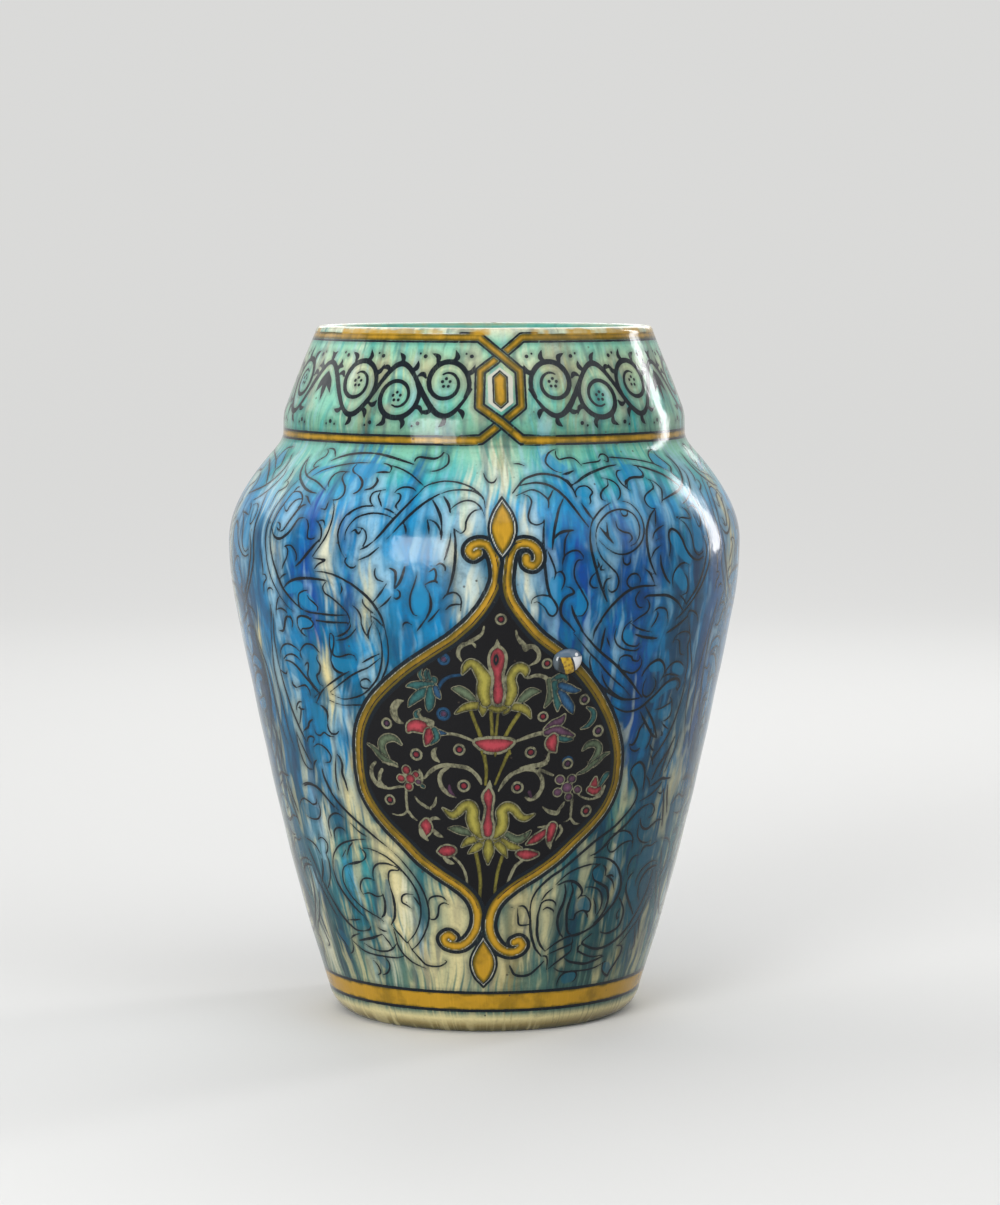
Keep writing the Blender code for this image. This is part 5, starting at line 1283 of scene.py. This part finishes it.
def makeDrop():
    # thick clear drop on the wall, heavier at its lower side
    vertices, faces, acrosses, ups, rims = [], [], [], [], []

    def wallPoint(across, up, lift):
        z = drop["level"] + up
        lean = float(outerRadius(z + 0.4) - outerRadius(z - 0.4)) / 0.8
        angle = drop["turn"] * degree + across / float(outerRadius(drop["level"]))
        size = lift / math.hypot(1, lean)
        r = float(outerRadius(z)) + size + float(wobbleAt(np.array(angle / degree), np.array(z)))
        return (r * math.sin(angle) / 1000, -r * math.cos(angle) / 1000, (z - lean * size) / 1000)

    for layer in (1, 0):
        for k in range(drop["rings"] + (layer == 1)):
            share = (k / drop["rings"]) if layer else 1 - (k + 1) / drop["rings"]
            spread = math.sin(share * math.pi / 2)
            for i in range(drop["segments"]):
                around = 2 * math.pi * i / drop["segments"]
                wavy = 1 + 0.05 * math.sin(2 * around + 0.7) + 0.03 * math.sin(3 * around)
                across = drop["width"] / 2 * max(spread, 0.004) * math.cos(around) * wavy
                up = drop["length"] / 2 * max(spread, 0.004) * math.sin(around) * wavy
                lift = drop["rise"] * layer * math.cos(share * math.pi / 2) ** 0.8
                lift = drop["gap"] + lift * (1 - drop["sag"] * math.sin(around) * spread)
                vertices.append(wallPoint(across, up, lift))
                acrosses.append(2 * across / drop["width"])
                ups.append(2 * up / drop["length"])
                rims.append(share)
    total = len(vertices) // drop["segments"]
    for k in range(total - 1):
        for i in range(drop["segments"]):
            j = (i + 1) % drop["segments"]
            a = k * drop["segments"]
            b = a + drop["segments"]
            faces.append((a + i, b + i, b + j, a + j))
    faces.append(list(range(drop["segments"])))
    faces.append(list(range(len(vertices) - 1, len(vertices) - 1 - drop["segments"], -1)))
    mesh = bpy.data.meshes.new("clearDrop")
    mesh.from_pydata(vertices, [], faces)
    mesh.polygons.foreach_set("use_smooth", np.ones(len(mesh.polygons), bool))
    mesh.update()
    for key, value in (("across", acrosses), ("upward", ups), ("rim", rims)):
        store(mesh, key, value)
    mesh.materials.append(clear)
    piece = placed("clearDrop", mesh)
    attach(piece, "root")
    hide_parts("glaze_drop")


makeDrop()
print("stage: drop made")

# stage: pale floor rising into a backdrop, soft lights, camera
sweep = {"half": 5.0, "front": -5.0, "back": 1.6, "bend": 1.0, "top": 4.0}
line = [(sweep["front"], 0.0), (sweep["back"], 0.0)]
line += [(sweep["back"] + sweep["bend"] * math.sin(k * math.pi / 32), sweep["bend"] * (1 - math.cos(k * math.pi / 32)))
         for k in range(1, 17)]
line.append((sweep["back"] + sweep["bend"], sweep["top"]))
floorMesh = bpy.data.meshes.new("floor")
floorMesh.from_pydata([(side * sweep["half"], y, z) for y, z in line for side in (-1, 1)], [],
                      [(2 * k, 2 * k + 1, 2 * k + 3, 2 * k + 2) for k in range(len(line) - 1)])
floorMesh.polygons.foreach_set("use_smooth", np.ones(len(line) - 1, bool))
floor = placed("floor", floorMesh)


def seenRays():
    # the camera, reflections and clear glass see floor and background paler than they light the object
    kinds = ("Is Camera Ray", "Is Glossy Ray", "Is Transmission Ray")
    rays = [Flow.add("ShaderNodeLightPath", {}, {}, kind) for kind in kinds]
    return rays[0].math("MAXIMUM", rays[1]).math("MAXIMUM", rays[2])


floorMaterial, floorSurface = newMaterial("floor")
seen = seenRays()
floorLook = {"light": (0.35, 0.35, 0.35, 1), "seen": (0.70, 0.70, 0.69, 1)}
floorTone = between(floorLook["light"], floorLook["seen"], seen)
Flow.tree.links.new(floorTone.socket, floorSurface.inputs["Base Color"])
apart = Flow.add("ShaderNodeVectorMath", {"operation": "LENGTH"}, {0: Flow.add("ShaderNodeNewGeometry", {}, {}, 0)}, 1)
glow = Flow.add("ShaderNodeEmission", {}, {"Color": floorLook["seen"], "Strength": 1.0})
plain = Flow(floorSurface.outputs[0])
mixed = Flow.add("ShaderNodeMixShader", {}, {0: seen * apart.ramp(0.5, 2.4), 1: plain, 2: glow})
Flow.tree.links.new(mixed.socket, Flow.tree.nodes["Material Output"].inputs[0])
floorSurface.inputs["Roughness"].default_value = 0.8
floorMesh.materials.append(floorMaterial)

world = bpy.data.worlds.new("studio")
bpy.context.scene.world = world
world.use_nodes = True
world.node_tree.nodes["Background"].inputs["Color"].default_value = (0.80, 0.80, 0.80, 1)
Flow.tree = world.node_tree
shine = seenRays() * 0.54 + 0.33               # strength as light, and more where it is seen
world.node_tree.links.new(shine.socket, world.node_tree.nodes["Background"].inputs["Strength"])


def lamp(name, angle, rise, away, wide, tall, power):
    light = bpy.data.lights.new(name, "AREA")
    light.shape = "RECTANGLE"
    light.size = wide
    light.size_y = tall
    light.energy = power
    thing = placed(name, light)
    target = np.array([0, 0, 0.15])
    a, e = math.radians(angle), math.radians(rise)
    place = target + away * np.array([math.sin(a) * math.cos(e), -math.cos(a) * math.cos(e), math.sin(e)])
    thing.location = place
    thing.rotation_euler = (math.pi / 2 - e, 0, a)
    thing.visible_camera = False


# angle round from the front, rise, distance, width, height and power
lamp("key", -27, 10, 1.6, 0.66, 0.80, 22)
lamp("top", 16, 62, 2.2, 1.6, 1.6, 12)
lamp("right", 124, 4, 2.0, 0.30, 2.2, 26)
lamp("back", 176, 34, 1.9, 1.5, 1.5, 14)
lamp("left", -118, 40, 2.6, 2.2, 2.2, 22)
lamp("fill", 62, 26, 2.4, 1.8, 1.8, 11)

# from the front, a little above
view = {"place": (0.0061, -1.4492, 0.2950), "down": 5.3, "lens": 110}
cameraData = bpy.data.cameras.new("camera")
cameraData.sensor_fit = "AUTO"
cameraData.sensor_width = 36
cameraData.lens = view["lens"]
cameraData.clip_end = 50
camera = placed("camera", cameraData)
camera.location = view["place"]
camera.rotation_euler = (math.radians(90 - view["down"]), 0, 0)
bpy.context.scene.camera = camera
bpy.context.scene.view_settings.view_transform = "Standard"

print("stage: done")
